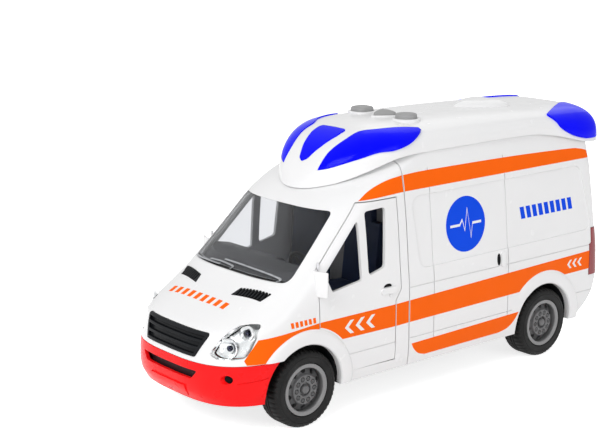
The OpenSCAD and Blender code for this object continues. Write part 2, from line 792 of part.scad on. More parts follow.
module headlamp_lens_left() color(clear) intersection() {
    skin(0, lens_t);
    lamp_prism(fit_gap / 2);
}

module headlamp_lens_right() {
    mirror([0, 1, 0]) headlamp_lens_left();
}

dish_shares = [[0.905, 0.74, 0.37], [0.865, 0.83, 0.385]];
module headlamp_bowl_left() color(chrome) difference() {
    intersection() {
        skin(lens_t + fit_gap, 3 * wall);
        lamp_prism(fit_gap / 2);
    }
    for (s = dish_shares)
        translate([s[0] * half_l, s[1] * half_w, s[2] * deck_z]) sphere(d = 0.05 * deck_z, $fn = 14);
}

module headlamp_bowl_right() {
    mirror([0, 1, 0]) headlamp_bowl_left();
}

module bonnet_vent_left() color(black) difference() {
    intersection() {
        skin(-fit_gap / 2, wall);
        from_top() offset(delta = -fit_gap / 2) vent_outline();
    }
    for (i = [0 : 4]) intersection() {
        skin(-overrun, wall / 2);
        translate([half_l / 2, (0.40 + 0.07 * i) * half_w, 0]) cube([half_l, 0.025 * half_w, deck_z]);
    }
}

module bonnet_vent_right() {
    mirror([0, 1, 0]) bonnet_vent_left();
}

wiper_shares = [
    [-0.62, 0.60, -0.02, 0.60], [0.10, 0.60, 0.66, 0.60], [-0.30, 0.585, -0.34, 0.60],
    [0.40, 0.585, 0.36, 0.60]];
module windscreen() color(clear) {
    intersection() {
        skin(fit_gap / 2, screen_t);
        translate([half_l / 8, 0, 0]) from_front() offset(delta = -fit_gap / 2) screen_outline();
    }
    intersection() {
        skin(-fit_gap, screen_t / 2);
        translate([half_l / 8, 0, 0]) from_front() for (s = wiper_shares) hull() {
            translate([s[0] * half_w, s[1] * deck_z]) circle(d = wiper_w, $fn = 8);
            translate([s[2] * half_w, s[3] * deck_z]) circle(d = wiper_w, $fn = 8);
        }
    }
}

module tail_lamp_left() color([0.6, 0.03, 0.05, 0.95]) intersection() {
    box_skin(-fit_gap, lens_t - fit_gap / 2);
    from_left() offset(delta = -fit_gap / 2) tail_outline();
    behind(rear_x0);
    translate([-2 * body_l, leaf_low_y + 3 * hinge_gap + fit_gap / 2, 0])
        cube([4 * body_l, body_w, deck_z]);
}

module tail_lamp_right() {
    mirror([0, 1, 0]) tail_lamp_left();
}

mirror_x = door_front_x + 2 * hinge_gap;
mirror_z = 0.512 * deck_z;
mirror_h = 0.1 * deck_z;
mirror_l = 0.17 * half_w;
mirror_t = 1.6 * wall;
module mirror_left() color(white) difference() {
    translate([mirror_x, side_y(mirror_z + mirror_h, wall), mirror_z]) rotate([90, 0, 90])
        linear_extrude(mirror_t)
        soft(mirror_t / 2) square([mirror_l + wall + flare_t, mirror_h]);
    body_form(-seat_gap, sill_z, deck_z);
}

module mirror_right() {
    mirror([0, 1, 0]) mirror_left();
}

module cab_door_left() color(white) difference() {
    union() {
        intersection() {
            skin(0, wall);
            from_left() door_outline();
        }
        intersection() {
            body_form(0, sill_z, deck_z);
            cab_pin(barrel_r, 0);
            from_left() offset(delta = -door_gap) door_outline();
        }
    }
    from_left() door_windows();
    cab_pin(pin_r + seat_gap, pin_gap);
    intersection() {
        skin(-overrun, wall / 2);
        from_left() grip_outline(door_rear_x + 0.043 * half_l, 0.480 * deck_z, 0.085 * half_l,
            0.02 * deck_z);
    }
}

module cab_door_right() {
    mirror([0, 1, 0]) cab_door_left();
}

module cab_hinge_pin_left() color(steel) cab_pin(pin_r, 0);

module cab_hinge_pin_right() color(steel) mirror([0, 1, 0]) cab_pin(pin_r, 0);

module rear_door_left() color(white) mirror([0, 1, 0]) difference() {
    union() {
        intersection() {
            box_skin(0, wall);
            from_rear() leaf_outline();
        }
        intersection() {
            body_form(0, sill_z, deck_z, box_shares, box_n);
            mirror([0, 1, 0]) leaf_pin(barrel_r, 0);
            from_rear() offset(delta = -door_gap) leaf_outline();
        }
        intersection() {
            box_skin(-1.4 * flare_t, wall);
            from_rear() grip_outline(-0.14 * half_w, 0.5 * deck_z, 0.16 * half_w, 0.035 * deck_z);
        }
    }
    mirror([0, 1, 0]) leaf_pin(pin_r + seat_gap, pin_gap);
    intersection() {
        box_skin(-overrun, side_recess);
        from_rear() soft(2 * window_round) translate([-0.68 * half_w, 0.58 * deck_z])
            square([0.58 * half_w, 0.22 * deck_z]);
    }
}

module rear_door_right() {
    mirror([0, 1, 0]) rear_door_left();
}

module rear_hinge_pin_left() color(steel) leaf_pin(pin_r, 0);

module rear_hinge_pin_right() color(steel) mirror([0, 1, 0]) leaf_pin(pin_r, 0);

// Cab interior: floor, dashboard, two seats and the wall behind them
dash_x = 0.55 * half_l;
dash_z = 0.553 * deck_z;
seat_x = 0.22 * half_l;
seat_l = 0.185 * half_l;
seat_w = 0.54 * half_w;
seat_z = 0.475 * deck_z;
rest_z = 0.72 * deck_z;
cab_back_x = joint_x + 2 * wall;
seat_back_x = cab_back_x + wall / 2;
seat_foot_z = floor_z + floor_t / 2;
module cab_interior() color(dark) intersection() {
    body_form(inside, sill_z, deck_z, inner_shares, inner_n);
    union() {
        translate([cab_back_x, -body_w, floor_z]) cube([0.595 * half_l, 2 * body_w, floor_t]);
        translate([cab_back_x, -body_w, floor_z]) cube([wall, 2 * body_w, 0.92 * deck_z - floor_z]);
        translate([0, body_w, 0]) rotate([90, 0, 0]) linear_extrude(2 * body_w)
            polygon([[dash_x + 2 * wall, seat_foot_z], [dash_x, mix(floor_z, dash_z, 0.6)],
                [dash_x + wall, dash_z],
                [0.68 * half_l, dash_z], [0.72 * half_l, seat_foot_z]]);
        both() translate([0, 0.46 * half_w + seat_w / 2, 0]) rotate([90, 0, 0]) linear_extrude(seat_w)
            polygon([[seat_back_x, seat_foot_z], [seat_x + seat_l, seat_foot_z],
                [seat_x + seat_l + wall, seat_z],
                [seat_x + wall, seat_z - wall], [seat_x - wall, rest_z], [seat_back_x, rest_z]]);
        both() translate([seat_back_x, 0.46 * half_w - seat_w / 4, rest_z - wall])
            cube([3 * wall, seat_w / 2, 6 * wall]);
    }
}

wheel_ring_r = 0.2 * half_w;
steer_x = 0.487 * half_l;
steer_y = 0.42 * half_w;
steer_z = 0.56 * deck_z;
steer_tilt = 110;
module steering_wheel() color(black) translate([steer_x, steer_y, steer_z]) rotate([0, steer_tilt, 0]) {
    rotate_extrude($fn = 36) translate([wheel_ring_r, 0]) circle(r = wall / 2, $fn = 12);
    cylinder(r = 1.6 * wall, h = wall, center = true, $fn = 24);
    for (a = [90, 210, 330]) rotate([0, 0, a]) translate([0, -wall / 2, -wall / 4])
        cube([wheel_ring_r, wall, wall / 2]);
    cylinder(r = wall, h = (dash_x + 0.8 * wall - steer_x) / sin(steer_tilt) - fit_gap, $fn = 20);
}

// Chassis plate with wheel wells, carriers, battery well and motor cut-out
carrier_l = 8 / 3 * axle_d;
carrier_w = 4 / 3 * axle_d;
carrier_y = wheel_in_y - 2 * well_t - carrier_w;
well_y = wheel_in_y - well_t;
cell_n = 3;
cell_pitch = cell_d + 2 * seat_gap + fit_gap;
well_cx = -0.07 * half_l;
bat_l = cell_n * cell_pitch + 2 * well_t;
bat_w = cell_d + 2 * well_t + 2 * fit_gap;
bat_z = plate_z + cell_h + plate_t;
cover_l = bat_l + 8 * well_t;
cover_w = bat_w + 2 * well_t;
cover_screw_x = well_cx + bat_l / 2 + 2 * well_t;
speaker_x = cover_screw_x + speaker_d / 2 + 2 * screw_r + 2.8 * wall;
motor_x0 = rear_x0 - 11 * shaft_r;
motor_l = 41 * shaft_r;
motor_w = 2 * (2 * gear_w + 2 * wall + wheel_t / 8);
module chassis_outline() {
    polygon([for (p = ring(sill_z, wall + fit_gap)) [p[0], p[1]]]);
}

module well(x) {
    difference() {
        translate([x, well_y - well_t, axle_z]) rotate([-90, 0, 0])
            cylinder(r = arch_r + well_t, h = half_w - flare_t - inside - well_y + well_t, $fn = 48);
        translate([x, well_y, axle_z]) rotate([-90, 0, 0]) cylinder(r = arch_r, h = half_w, $fn = 48);
        translate([x - 2 * arch_r, 0, axle_z - 2 * arch_r])
            cube([4 * arch_r, half_w, 2 * arch_r + sill_z - axle_z]);
        translate([x, 0, axle_z]) rotate([-90, 0, 0]) cylinder(r = 2 * axle_r, h = half_w);
    }
}

module carrier(x) {
    translate([x - carrier_l / 2, carrier_y, axle_z - 2 * axle_d])
        cube([carrier_l, carrier_w, 4 * axle_d]);
}

module chassis() color(black) difference() {
    union() {
        difference() {
            translate([0, 0, sill_z]) linear_extrude(plate_t) chassis_outline();
            for (x = [front_x0, rear_x0]) {
                both() translate([x - arch_r, well_y - well_t / 2, 0])
                    cube([2 * arch_r, half_w, 2 * sill_z]);
                translate([x - axle_d, -carrier_y - carrier_w / 2, 0])
                    cube([2 * axle_d, 2 * carrier_y + carrier_w, 2 * sill_z]);
            }
            translate([motor_x0 - fit_gap, -motor_w / 2 - fit_gap, 0])
                cube([motor_l + 2 * fit_gap, motor_w + 2 * fit_gap, 2 * sill_z]);
        }
        for (x = [front_x0, rear_x0]) both() {
            well(x);
            carrier(x);
        }
        translate([well_cx - bat_l / 2, -bat_w / 2, plate_z]) cube([bat_l, bat_w, bat_z - plate_z]);
    }
    for (x = [front_x0, rear_x0]) tube_y(x, axle_z, axle_r + axle_gap);
    for (i = [0 : cell_n - 1]) translate([well_cx + (i - 1) * cell_pitch, 0, plate_z - plate_t / 2])
        cylinder(d = cell_d + 2 * fit_gap, h = cell_h + plate_t / 2 + fit_gap);
    translate([well_cx - cover_l / 2, -cover_w / 2, 0]) cube([cover_l, cover_w, sill_z + plate_t / 2]);
    translate([cover_screw_x, 0, 0]) cylinder(r = screw_r + seat_gap, h = 2 * sill_z);
    at_screws([0, 1, 2]) {
        cylinder(r = screw_r + seat_gap, h = 2 * sill_z);
        cylinder(r = 2 * screw_r + fit_gap, h = sill_z + plate_t / 2);
    }
    for (a = [0 : 60 : 300]) translate([speaker_x, 0, 0]) rotate([0, 0, a])
        translate([speaker_d / 4, 0, 0]) cylinder(d = speaker_d / 10, h = 2 * sill_z);
}

module battery_door() color(black) difference() {
    translate([well_cx - cover_l / 2 + fit_gap, -cover_w / 2 + fit_gap, sill_z])
        cube([cover_l - 2 * fit_gap, cover_w - 2 * fit_gap, plate_t / 2 - seat_gap]);
    translate([cover_screw_x, 0, 0]) cylinder(r = screw_r + seat_gap, h = 2 * sill_z);
    translate([cover_screw_x, 0, 0]) cylinder(r = 2 * screw_r, h = sill_z + plate_t / 4);
}

module screw(top, l) {
    translate([0, 0, top - plate_t / 4 - seat_gap]) {
        difference() {
            cylinder(r = 2 * screw_r - fit_gap / 2, h = plate_t / 4, $fn = 24);
            for (a = [0, 90]) rotate([0, 0, a])
                cube([2.4 * screw_r, screw_r / 2, plate_t / 4], center = true);
        }
        translate([0, 0, plate_t / 8]) cylinder(r = screw_r, h = l, $fn = 24);
    }
}

module battery_screw() color(steel) translate([cover_screw_x, 0, 0])
    screw(sill_z + plate_t / 4, 3 * plate_t / 2);

module chassis_screws() color(steel) at_screws([0, 1, 2]) screw(sill_z + plate_t / 2, screw_l - plate_t);

module button_cells() color(chrome) for (i = [0 : cell_n - 1])
    translate([well_cx + (i - 1) * cell_pitch, 0, plate_z - plate_t / 2 + seat_gap]) {
        cylinder(d = cell_d, h = 0.7 * cell_h);
        cylinder(d = 0.86 * cell_d, h = cell_h);
    }

strip_t = fit_gap;
module contact_strips() color(steel) for (s = [-1, 1])
    translate([well_cx + s * (bat_l / 2 + strip_t / 2), 0, plate_z + cell_h / 2 + plate_t / 2])
        cube([strip_t, cell_d / 2, cell_h], center = true);

module speaker() color(dark) translate([speaker_x, 0, plate_z]) {
    cylinder(d = speaker_d, h = 2 * wall);
    cylinder(d = 0.55 * speaker_d, h = 5 * wall);
}

// Box floor with the bulkhead ahead of it
bulkhead_x = joint_x - 5 * wall;
floor_rear_x = tail_x(floor_z, inside) + 2 * wall;
module bay_floor() color(dark) intersection() {
    body_form(inside, sill_z, deck_z - wall - fit_gap, box_shares, box_n);
    union() {
        translate([floor_rear_x, -body_w, floor_z])
            cube([bulkhead_x - floor_rear_x, 2 * body_w, floor_t]);
        translate([bulkhead_x - wall, -body_w, floor_z]) cube([wall, 2 * body_w, deck_z]);
    }
}

// Roof electronics
board_z = deck_z + 2 * wall;
switch_h = button_foot_z - button_travel - fit_gap / 2 - board_z;
board_t = 1.2;
board_l = 0.19 * half_l;
board_w = 2 * button_pitch + button_d;
module switch_board() color([0.1, 0.4, 0.2]) {
    translate([button_x - board_l / 2, -board_w / 2, board_z]) cube([board_l, board_w, board_t]);
    for (k = [-1 : 1]) button_at(k) {
        translate([-button_d / 4, -button_d / 4, board_z])
            cube([button_d / 2, button_d / 2, 0.75 * switch_h]);
        translate([0, 0, board_z]) cylinder(d = button_d / 4, h = switch_h);
    }
    for (x = [-1, 1]) both() translate([button_x + x * 0.4 * board_l, 0.45 * board_w, deck_z])
        cylinder(r = wall, h = board_z - deck_z);
}

bulb_shares = [[0.085, 0.55], [-0.79, 0.62]];
lamp_d = 5;
module lamps() color([0.5, 0.6, 1]) for (p = bulb_shares) both()
    translate([p[0] * half_l, p[1] * half_w, deck_z]) {
    cylinder(d = lamp_d, h = 0.8 * lamp_d, $fn = 24);
    translate([0, 0, 0.8 * lamp_d]) sphere(d = 0.86 * lamp_d, $fn = 24);
}

wire_r = 0.6;
wire_x = joint_x - 3 * wall;
module wire_loom() color(red) for (s = [-1, 1]) translate([0, s * wire_r, 0]) {
    translate([wire_x, 0, bat_z + wire_r])
        cylinder(r = wire_r - seat_gap, h = board_z + wire_r - bat_z - wire_r);
    translate([well_cx + bat_l / 4, 0, bat_z + wire_r]) rotate([0, 90, 0])
        cylinder(r = wire_r - seat_gap, h = wire_x - well_cx - bat_l / 4);
    translate([button_x + board_l / 2 + seat_gap, 0, board_z + wire_r]) rotate([0, 90, 0])
        cylinder(r = wire_r - seat_gap, h = wire_x - button_x - board_l / 2 - seat_gap);
    for (z = [bat_z + wire_r, board_z + wire_r]) translate([wire_x, 0, z])
        sphere(r = wire_r - seat_gap, $fn = 20);
}

// A button: head, stem and the wider foot that holds it under the cap
module button(k) {
    color(grey) button_at(k) {
        translate([0, 0, button_foot_z + button_travel])
            linear_extrude(button_z - button_foot_z - button_travel + 0.3 * button_h)
            button_outline(k);
        translate([0, 0, button_z + 0.3 * button_h]) linear_extrude(0.45 * button_h, scale = 0.86)
            button_outline(k);
        translate([0, 0, button_z + 0.75 * button_h]) scale([0.86, 0.86, 1])
            linear_extrude(0.25 * button_h, scale = 0.6)
            button_outline(k);
        translate([0, 0, button_foot_z]) cylinder(d = button_d + 2.6 * bezel_w, h = button_travel);
    }
}

module button_left() {
    button(1);
}

module button_centre() {
    button(0);
}

module button_right() {
    button(-1);
}

// Involute gears: half the angle of a tooth at radius r, for n teeth
press_angle = 25;
drive_n = 20;
idler_n = 12;
big_n = 23;
fly_n = 10;
function pitch_r(n) = n * gear_m / 2;
function turn(a) = tan(a) - a * PI / 180;
function tooth_half(n, r) = let (b = pitch_r(n) * cos(press_angle), a = acos(min(1, b / max(r, b))))
    90 / n - gear_play * 90 / PI / pitch_r(n) / 2 - (turn(a) - turn(press_angle)) * 180 / PI;
function gear_points(n) = let (b = pitch_r(n) * cos(press_angle), top = pitch_r(n) + 0.85 * gear_m,
    foot = pitch_r(n) - 1.15 * gear_m, rs = [foot, max(b, foot), mix(max(b, foot), top, 0.55), top])
    [for (i = [0 : n - 1]) for (s = [-1, 1]) for (j = [0 : 3])
        let (r = s < 0 ? rs[j] : rs[3 - j], a = 360 * i / n + s * tooth_half(n, r))
        [r * cos(a), r * sin(a)]];

module gear(n, w) {
    linear_extrude(w) polygon(gear_points(n));
}

// Shaft places of the motor, seen from the left, and the turn at which each gear meshes
idler_angle = 30;
fly_angle = 25;
idler_d = pitch_r(drive_n) + pitch_r(idler_n);
fly_d = pitch_r(big_n) + pitch_r(fly_n);
idler_x = rear_x0 + idler_d * cos(idler_angle);
idler_z = axle_z + idler_d * sin(idler_angle);
fly_x = idler_x + fly_d * cos(fly_angle);
fly_z = idler_z + fly_d * sin(fly_angle);
fly_r = fly_d - shaft_r - 2 * fit_gap;
cheek_y = motor_w / 2 - wall;
drive_y = -cheek_y + fit_gap;
big_y = drive_y + gear_w + 2 * fit_gap;
fly_y = big_y + gear_w + fit_gap;
drive_turn = 0;
idler_turn = 180 * (1 + 1 / idler_n) + idler_angle * (1 + drive_n / idler_n);
big_turn = 0;
fly_turn = 180 * (1 + 1 / fly_n) + fly_angle * (1 + big_n / fly_n);

// A part that turns about an axis along y, its own z axis pointing to the right
module on_shaft(x, z, y) {
    translate([x, y, z]) rotate([-90, 0, 0]) mirror([0, 1, 0]) children();
}

module drive_gear() color([0.9, 0.85, 0.6]) on_shaft(rear_x0, axle_z, drive_y) difference() {
    rotate([0, 0, drive_turn]) gear(drive_n, gear_w);
    translate([0, 0, -overrun]) cylinder(r = axle_r + seat_gap, h = gear_w + 2 * overrun);
}

module idler_gear() color([0.9, 0.85, 0.6]) on_shaft(idler_x, idler_z, drive_y) {
    rotate([0, 0, idler_turn]) gear(idler_n, gear_w + 2 * fit_gap);
    translate([0, 0, big_y - drive_y]) rotate([0, 0, big_turn]) gear(big_n, gear_w);
    translate([0, 0, -fit_gap - wall / 2]) cylinder(r = shaft_r, h = 2 * cheek_y + wall, $fn = 24);
}

module flywheel() color(steel) on_shaft(fly_x, fly_z, big_y) {
    rotate([0, 0, fly_turn]) gear(fly_n, gear_w + fit_gap);
    translate([0, 0, fly_y - big_y]) cylinder(r = fly_r, h = wheel_t, $fn = 48);
    translate([0, 0, drive_y - big_y - fit_gap - wall / 2])
        cylinder(r = shaft_r, h = 2 * cheek_y + wall, $fn = 24);
}

motor_z0 = axle_z - 7 * shaft_r;
motor_h = floor_z - fit_gap - motor_z0 - wall;
module motor_housing() color(dark) difference() {
    union() {
        translate([motor_x0, -motor_w / 2, motor_z0]) cube([motor_l, motor_w, motor_h]);
        translate([motor_x0 + motor_l / 2, -motor_w / 2 - 2 * wall, plate_z])
            cube([motor_l / 2, motor_w + 4 * wall, wall]);
    }
    translate([motor_x0 + wall, -cheek_y, motor_z0 - wall])
        cube([motor_l - 2 * wall, 2 * cheek_y, motor_h]);
    tube_y(rear_x0, axle_z, axle_r + fit_gap);
    tube_y(idler_x, idler_z, shaft_r + axle_gap);
    tube_y(fly_x, fly_z, shaft_r + axle_gap);
}

// Axles, rims and tyres
hub_in = 2 * rim_t;
axle_l = 2 * (wheel_out_y - hub_in - rim_t);
module axle(x) {
    color(steel) translate([x, axle_l / 2, axle_z]) rotate([90, 0, 0])
        cylinder(r = axle_r, h = axle_l, $fn = 32);
}

module front_axle() axle(front_x0);

module rear_axle() axle(rear_x0);

// A wheel lies with its outer face up, then stands at its place on the left
module wheel_at(x) {
    translate([x, wheel_out_y, axle_z]) rotate([-90, 0, 0]) children();
}

tyre_shares = [
    [0, 0.06], [0.10, 0], [0.5, 0], [0.9, 0.06], [1, 0.16], [1, 0.40], [0.96, 0.42], [0.96, 0.47],
    [1, 0.49], [1, 0.60], [0.96, 0.62], [0.96, 0.67], [1, 0.69], [1, 0.84], [0.9, 0.94], [0.5, 1],
    [0.10, 1], [0, 0.94]];
module tyre_form() color(black) rotate_extrude($fn = 72)
    polygon(placed([rim_d / 2 + seat_gap, 0], [tyre_d / 2, -tyre_w], tyre_shares));

rim_shares = [
    [0.84, 0.06], [0.89, 0.015], [1, 0.015], [1, 0.93], [0.89, 0.93], [0.89, 0.42], [0.36, 0.42],
    [0.36, 0.75], [0, 0.75], [0, 0.10], [0.20, 0.10], [0.27, 0.14], [0.31, 0.26], [0.75, 0.29],
    [0.80, 0.24]];
module rim_form() color([0.3, 0.3, 0.33]) difference() {
    union() {
        rotate_extrude($fn = 48) polygon(placed([0, 0], [rim_d / 2, -tyre_w], rim_shares));
        for (i = [0 : rim_n - 1]) rotate([0, 0, 360 * i / rim_n])
            translate([0.23 * rim_d, 0, -0.42 * tyre_w])
                cylinder(r = 0.036 * rim_d, h = 0.20 * tyre_w, $fn = 6);
    }
    translate([0, 0, -tyre_w]) cylinder(r = axle_r + seat_gap, h = tyre_w - hub_in - rim_t + seat_gap,
        $fn = 32);
    for (i = [0 : rim_n - 1]) rotate([0, 0, 360 * (i + 0.5) / rim_n])
        translate([0.335 * rim_d, 0, -0.6 * tyre_w])
            cylinder(r = 0.055 * rim_d, h = 0.6 * tyre_w, $fn = 16);
}

module tyre_front_left() wheel_at(front_x0) rotate([180, 0, 0]) mirror([0, 0, 1]) tyre_form();

module tyre_front_right() mirror([0, 1, 0]) tyre_front_left();

module tyre_rear_left() wheel_at(rear_x0) rotate([180, 0, 0]) mirror([0, 0, 1]) tyre_form();

module tyre_rear_right() mirror([0, 1, 0]) tyre_rear_left();

module rim_front_left() wheel_at(front_x0) rotate([180, 0, 0]) mirror([0, 0, 1]) rim_form();

module rim_front_right() mirror([0, 1, 0]) rim_front_left();

module rim_rear_left() wheel_at(rear_x0) rotate([180, 0, 0]) mirror([0, 0, 1]) rim_form();

module rim_rear_right() mirror([0, 1, 0]) rim_rear_left();

cab_shell();
box_shell();
roof_cap();
chassis();
bay_floor();
front_bumper();
bumper_mesh();
radiator_grille();
headlamp_lens_left();
headlamp_lens_right();
headlamp_bowl_left();
headlamp_bowl_right();
bonnet_vent_left();
bonnet_vent_right();
windscreen();
cab_interior();
steering_wheel();
beacon_front_left();
beacon_front_centre();
beacon_front_right();
beacon_rear_left();
beacon_rear_right();
tail_lamp_left();
tail_lamp_right();
mirror_left();
mirror_right();
cab_door_left();
cab_door_right();
cab_hinge_pin_left();
cab_hinge_pin_right();
rear_door_left();
rear_door_right();
rear_hinge_pin_left();
rear_hinge_pin_right();
button_left();
button_centre();
button_right();
switch_board();
lamps();
wire_loom();
speaker();
battery_door();
battery_screw();
button_cells();
contact_strips();
chassis_screws();
motor_housing();
front_axle();
rear_axle();
drive_gear();
idler_gear();
flywheel();
tyre_front_left();
tyre_front_right();
tyre_rear_left();
tyre_rear_right();
rim_front_left();
rim_front_right();
rim_rear_left();
rim_rear_right();
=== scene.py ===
"""Toy ambulance: smooth shells, prints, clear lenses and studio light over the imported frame."""
import json
import math

import bmesh
import bpy
import numpy as np
from mathutils import Matrix, Vector


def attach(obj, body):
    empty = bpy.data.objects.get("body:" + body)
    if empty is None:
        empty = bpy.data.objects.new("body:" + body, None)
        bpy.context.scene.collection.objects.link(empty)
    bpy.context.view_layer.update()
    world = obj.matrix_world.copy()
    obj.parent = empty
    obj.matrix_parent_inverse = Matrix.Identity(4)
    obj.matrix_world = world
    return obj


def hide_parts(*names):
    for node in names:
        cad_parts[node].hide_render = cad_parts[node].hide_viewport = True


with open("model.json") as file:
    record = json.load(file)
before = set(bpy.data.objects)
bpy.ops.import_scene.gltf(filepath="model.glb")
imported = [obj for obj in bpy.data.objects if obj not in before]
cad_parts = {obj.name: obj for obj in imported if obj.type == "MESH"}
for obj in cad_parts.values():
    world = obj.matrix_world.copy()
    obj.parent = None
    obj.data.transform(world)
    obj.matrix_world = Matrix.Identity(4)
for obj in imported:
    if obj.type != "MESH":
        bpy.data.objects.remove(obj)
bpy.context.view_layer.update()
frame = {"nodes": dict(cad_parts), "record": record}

# Sizes, in millimetres

MM = 0.001
HALF_L, HALF_W, DECK_Z, SILL_Z, WALL = 136.0, 46.0, 126.0, 17.0, 1.8
JOINT_X, JOINT_GAP = 18.3, 0.6
REAR_ROUND = 9.0
FIT = 0.3
AXLE_X, AXLE_Z = 86.0, 19.3
ARCH_R, FLARE_R, FLARE_T = 22.5, 29.5, 0.9
WHEEL_OUT_Y = 45.8
BUMPER_TOP_Z, BUMPER_ARCH = 37.0, 1.5
DOOR_FRONT_X, DOOR_REAR_X, DOOR_LOW_Z, DOOR_HIGH_Z = 77.8, 28.0, 22.8, 105.0
DOOR_PILLAR_Z, DOOR_TOP_X, DOOR_GAP = 76.6, 49.0, 0.5
LEAF_LOW_Z, LEAF_HIGH_Z, LEAF_LOW_Y, LEAF_HIGH_Y, LEAF_GAP = 38.5, 106.5, 38.0, 34.6, 1.3
LENS_OUT, CAP_WALL = 0.8, 1.8
BUTTON_X, BUTTON_PITCH, BUTTON_D, BUTTON_H, BEZEL_W, BEZEL_H = -5.0, 17.0, 11.4, 2.6, 1.4, 0.7
PRINT_T = 0.06
FAR = 200.0
# Where cuts made from the front begin, for the nose and for the windscreen
NOSE_CUT_X, SCREEN_CUT_X = HALF_L / 2, HALF_L / 8
# Gap round a piece let into the skin, depth of sunk panels, and reach into the skin of raised pieces
# and of the fittings on the sides
SEAM, PANEL_IN, ROOT_IN, SIDE_ROOT_IN = 0.15, 0.5, 0.5, 0.4
# How far the inner form reaches below the sill, so that the skin is open there
OPEN_FOOT = 3.0
# Angles in degrees from which an edge is shown sharp
NODE_SHARP, PIECE_SHARP, BUTTON_SHARP = 30, 32, 50

# The body form: height as a share of the deck's, then the nose's end and length, the half width and
# the tail's end, as shares of the half length or the half width
BODY = np.array([
    (0.135, 0.974, 0.294, 0.974, 0.875), (0.175, 0.994, 0.316, 0.991, 0.926),
    (0.230, 1.000, 0.338, 1.000, 0.973), (0.294, 0.995, 0.338, 1.000, 0.997),
    (0.325, 0.987, 0.338, 1.000, 1.000), (0.373, 0.971, 0.324, 1.000, 0.9985),
    (0.409, 0.952, 0.309, 1.000, 0.996), (0.4325, 0.919, 0.294, 1.000, 0.995),
    (0.480, 0.840, 0.250, 0.993, 0.993), (0.524, 0.772, 0.210, 0.983, 0.990),
    (0.5595, 0.725, 0.184, 0.972, 0.988), (0.595, 0.686, 0.184, 0.963, 0.986),
    (0.698, 0.588, 0.199, 0.937, 0.980), (0.802, 0.493, 0.213, 0.904, 0.973),
    (0.833, 0.456, 0.213, 0.893, 0.971), (0.865, 0.408, 0.206, 0.878, 0.968),
    (0.897, 0.342, 0.191, 0.861, 0.965), (0.929, 0.272, 0.176, 0.843, 0.962),
    (0.960, 0.202, 0.162, 0.820, 0.959), (1.000, 0.088, 0.147, 0.787, 0.956)])
# The roof cap: place as a share of the half length, low edge and top as shares of the deck's height,
# and half width
CAP = np.array([
    (-0.9897, 0.9333, 1.0437, 0.793), (-0.9838, 0.9310, 1.0635, 0.843),
    (-0.9706, 0.9286, 1.0778, 0.876), (-0.9412, 0.9286, 1.0841, 0.900),
    (-0.8971, 0.9325, 1.0865, 0.911), (-0.8456, 0.9444, 1.0873, 0.904),
    (-0.7132, 0.9778, 1.0905, 0.874), (-0.5882, 0.9952, 1.0952, 0.848),
    (-0.2941, 0.9952, 1.1016, 0.826), (0.0368, 0.9905, 1.1000, 0.817),
    (0.1471, 0.9794, 1.0921, 0.800), (0.2206, 0.9524, 1.0762, 0.739),
    (0.2794, 0.9254, 1.0508, 0.652), (0.3309, 0.9008, 1.0143, 0.543),
    (0.3676, 0.8833, 0.9738, 0.435), (0.3971, 0.8714, 0.9325, 0.315),
    (0.4191, 0.8635, 0.8929, 0.174), (0.4301, 0.8611, 0.8690, 0.043)])
BODY_POWER, CAP_POWER = 3.0, 3.4
NOSE_N, SIDE_N, TAIL_N, LEVELS = 72, 36, 24, 120
CAP_N = 60
# Sections of the roof cap: from one share of its length to another, and how many
CAP_RUNS = ((0, 0.08, 24), (0.08, 0.66, 36), (0.66, 0.97, 56))
CAP_LAST_RUN = (0.97, 1, 12)
CAP_SKIRT = 3.0
# Limits of the outline functions: the share of a side that a corner may take, the least length and mitre
CORNER_SHARE, TINY, LEAST_MITRE = 0.48, 1e-9, 0.3

# Form functions


def flow(rows, v, c):
    """Smooth reading of column c at the value v of the first column."""
    x, y = rows[:, 0], rows[:, c]
    k = np.arange(len(x))
    lo, hi = np.maximum(k - 1, 0), np.minimum(k + 1, len(x) - 1)
    grade = (y[hi] - y[lo]) / (x[hi] - x[lo])
    i = np.clip(np.searchsorted(x, v, side="right") - 1, 0, len(x) - 2)
    h = x[i + 1] - x[i]
    t = np.clip((v - x[i]) / h, 0, 1)
    return ((2 * t**3 - 3 * t**2 + 1) * y[i] + (t**3 - 2 * t**2 + t) * grade[i] * h
            + (3 * t**2 - 2 * t**3) * y[i + 1] + (t**3 - t**2) * grade[i + 1] * h)


def power(u, p):
    return np.sign(u) * np.abs(u) ** (2 / p)


def nose_x(z, t=0.0):
    return HALF_L * flow(BODY, (z + t) / DECK_Z, 1) - t


def nose_l(z, t=0.0):
    return HALF_L * flow(BODY, z / DECK_Z, 2) - t


def side_y(z, t=0.0):
    return HALF_W * flow(BODY, z / DECK_Z, 3) - t


def tail_x(z, t=0.0):
    return t - HALF_L * flow(BODY, z / DECK_Z, 4)


def body_y(x, z, t=0.0):
    """Half width of the body at a place on its side or on its rounded nose."""
    u = np.clip((x - nose_x(z, t)) / nose_l(z, t) + 1, 0, 0.9999)
    return side_y(z, t) * (1 - u**BODY_POWER) ** (1 / BODY_POWER)


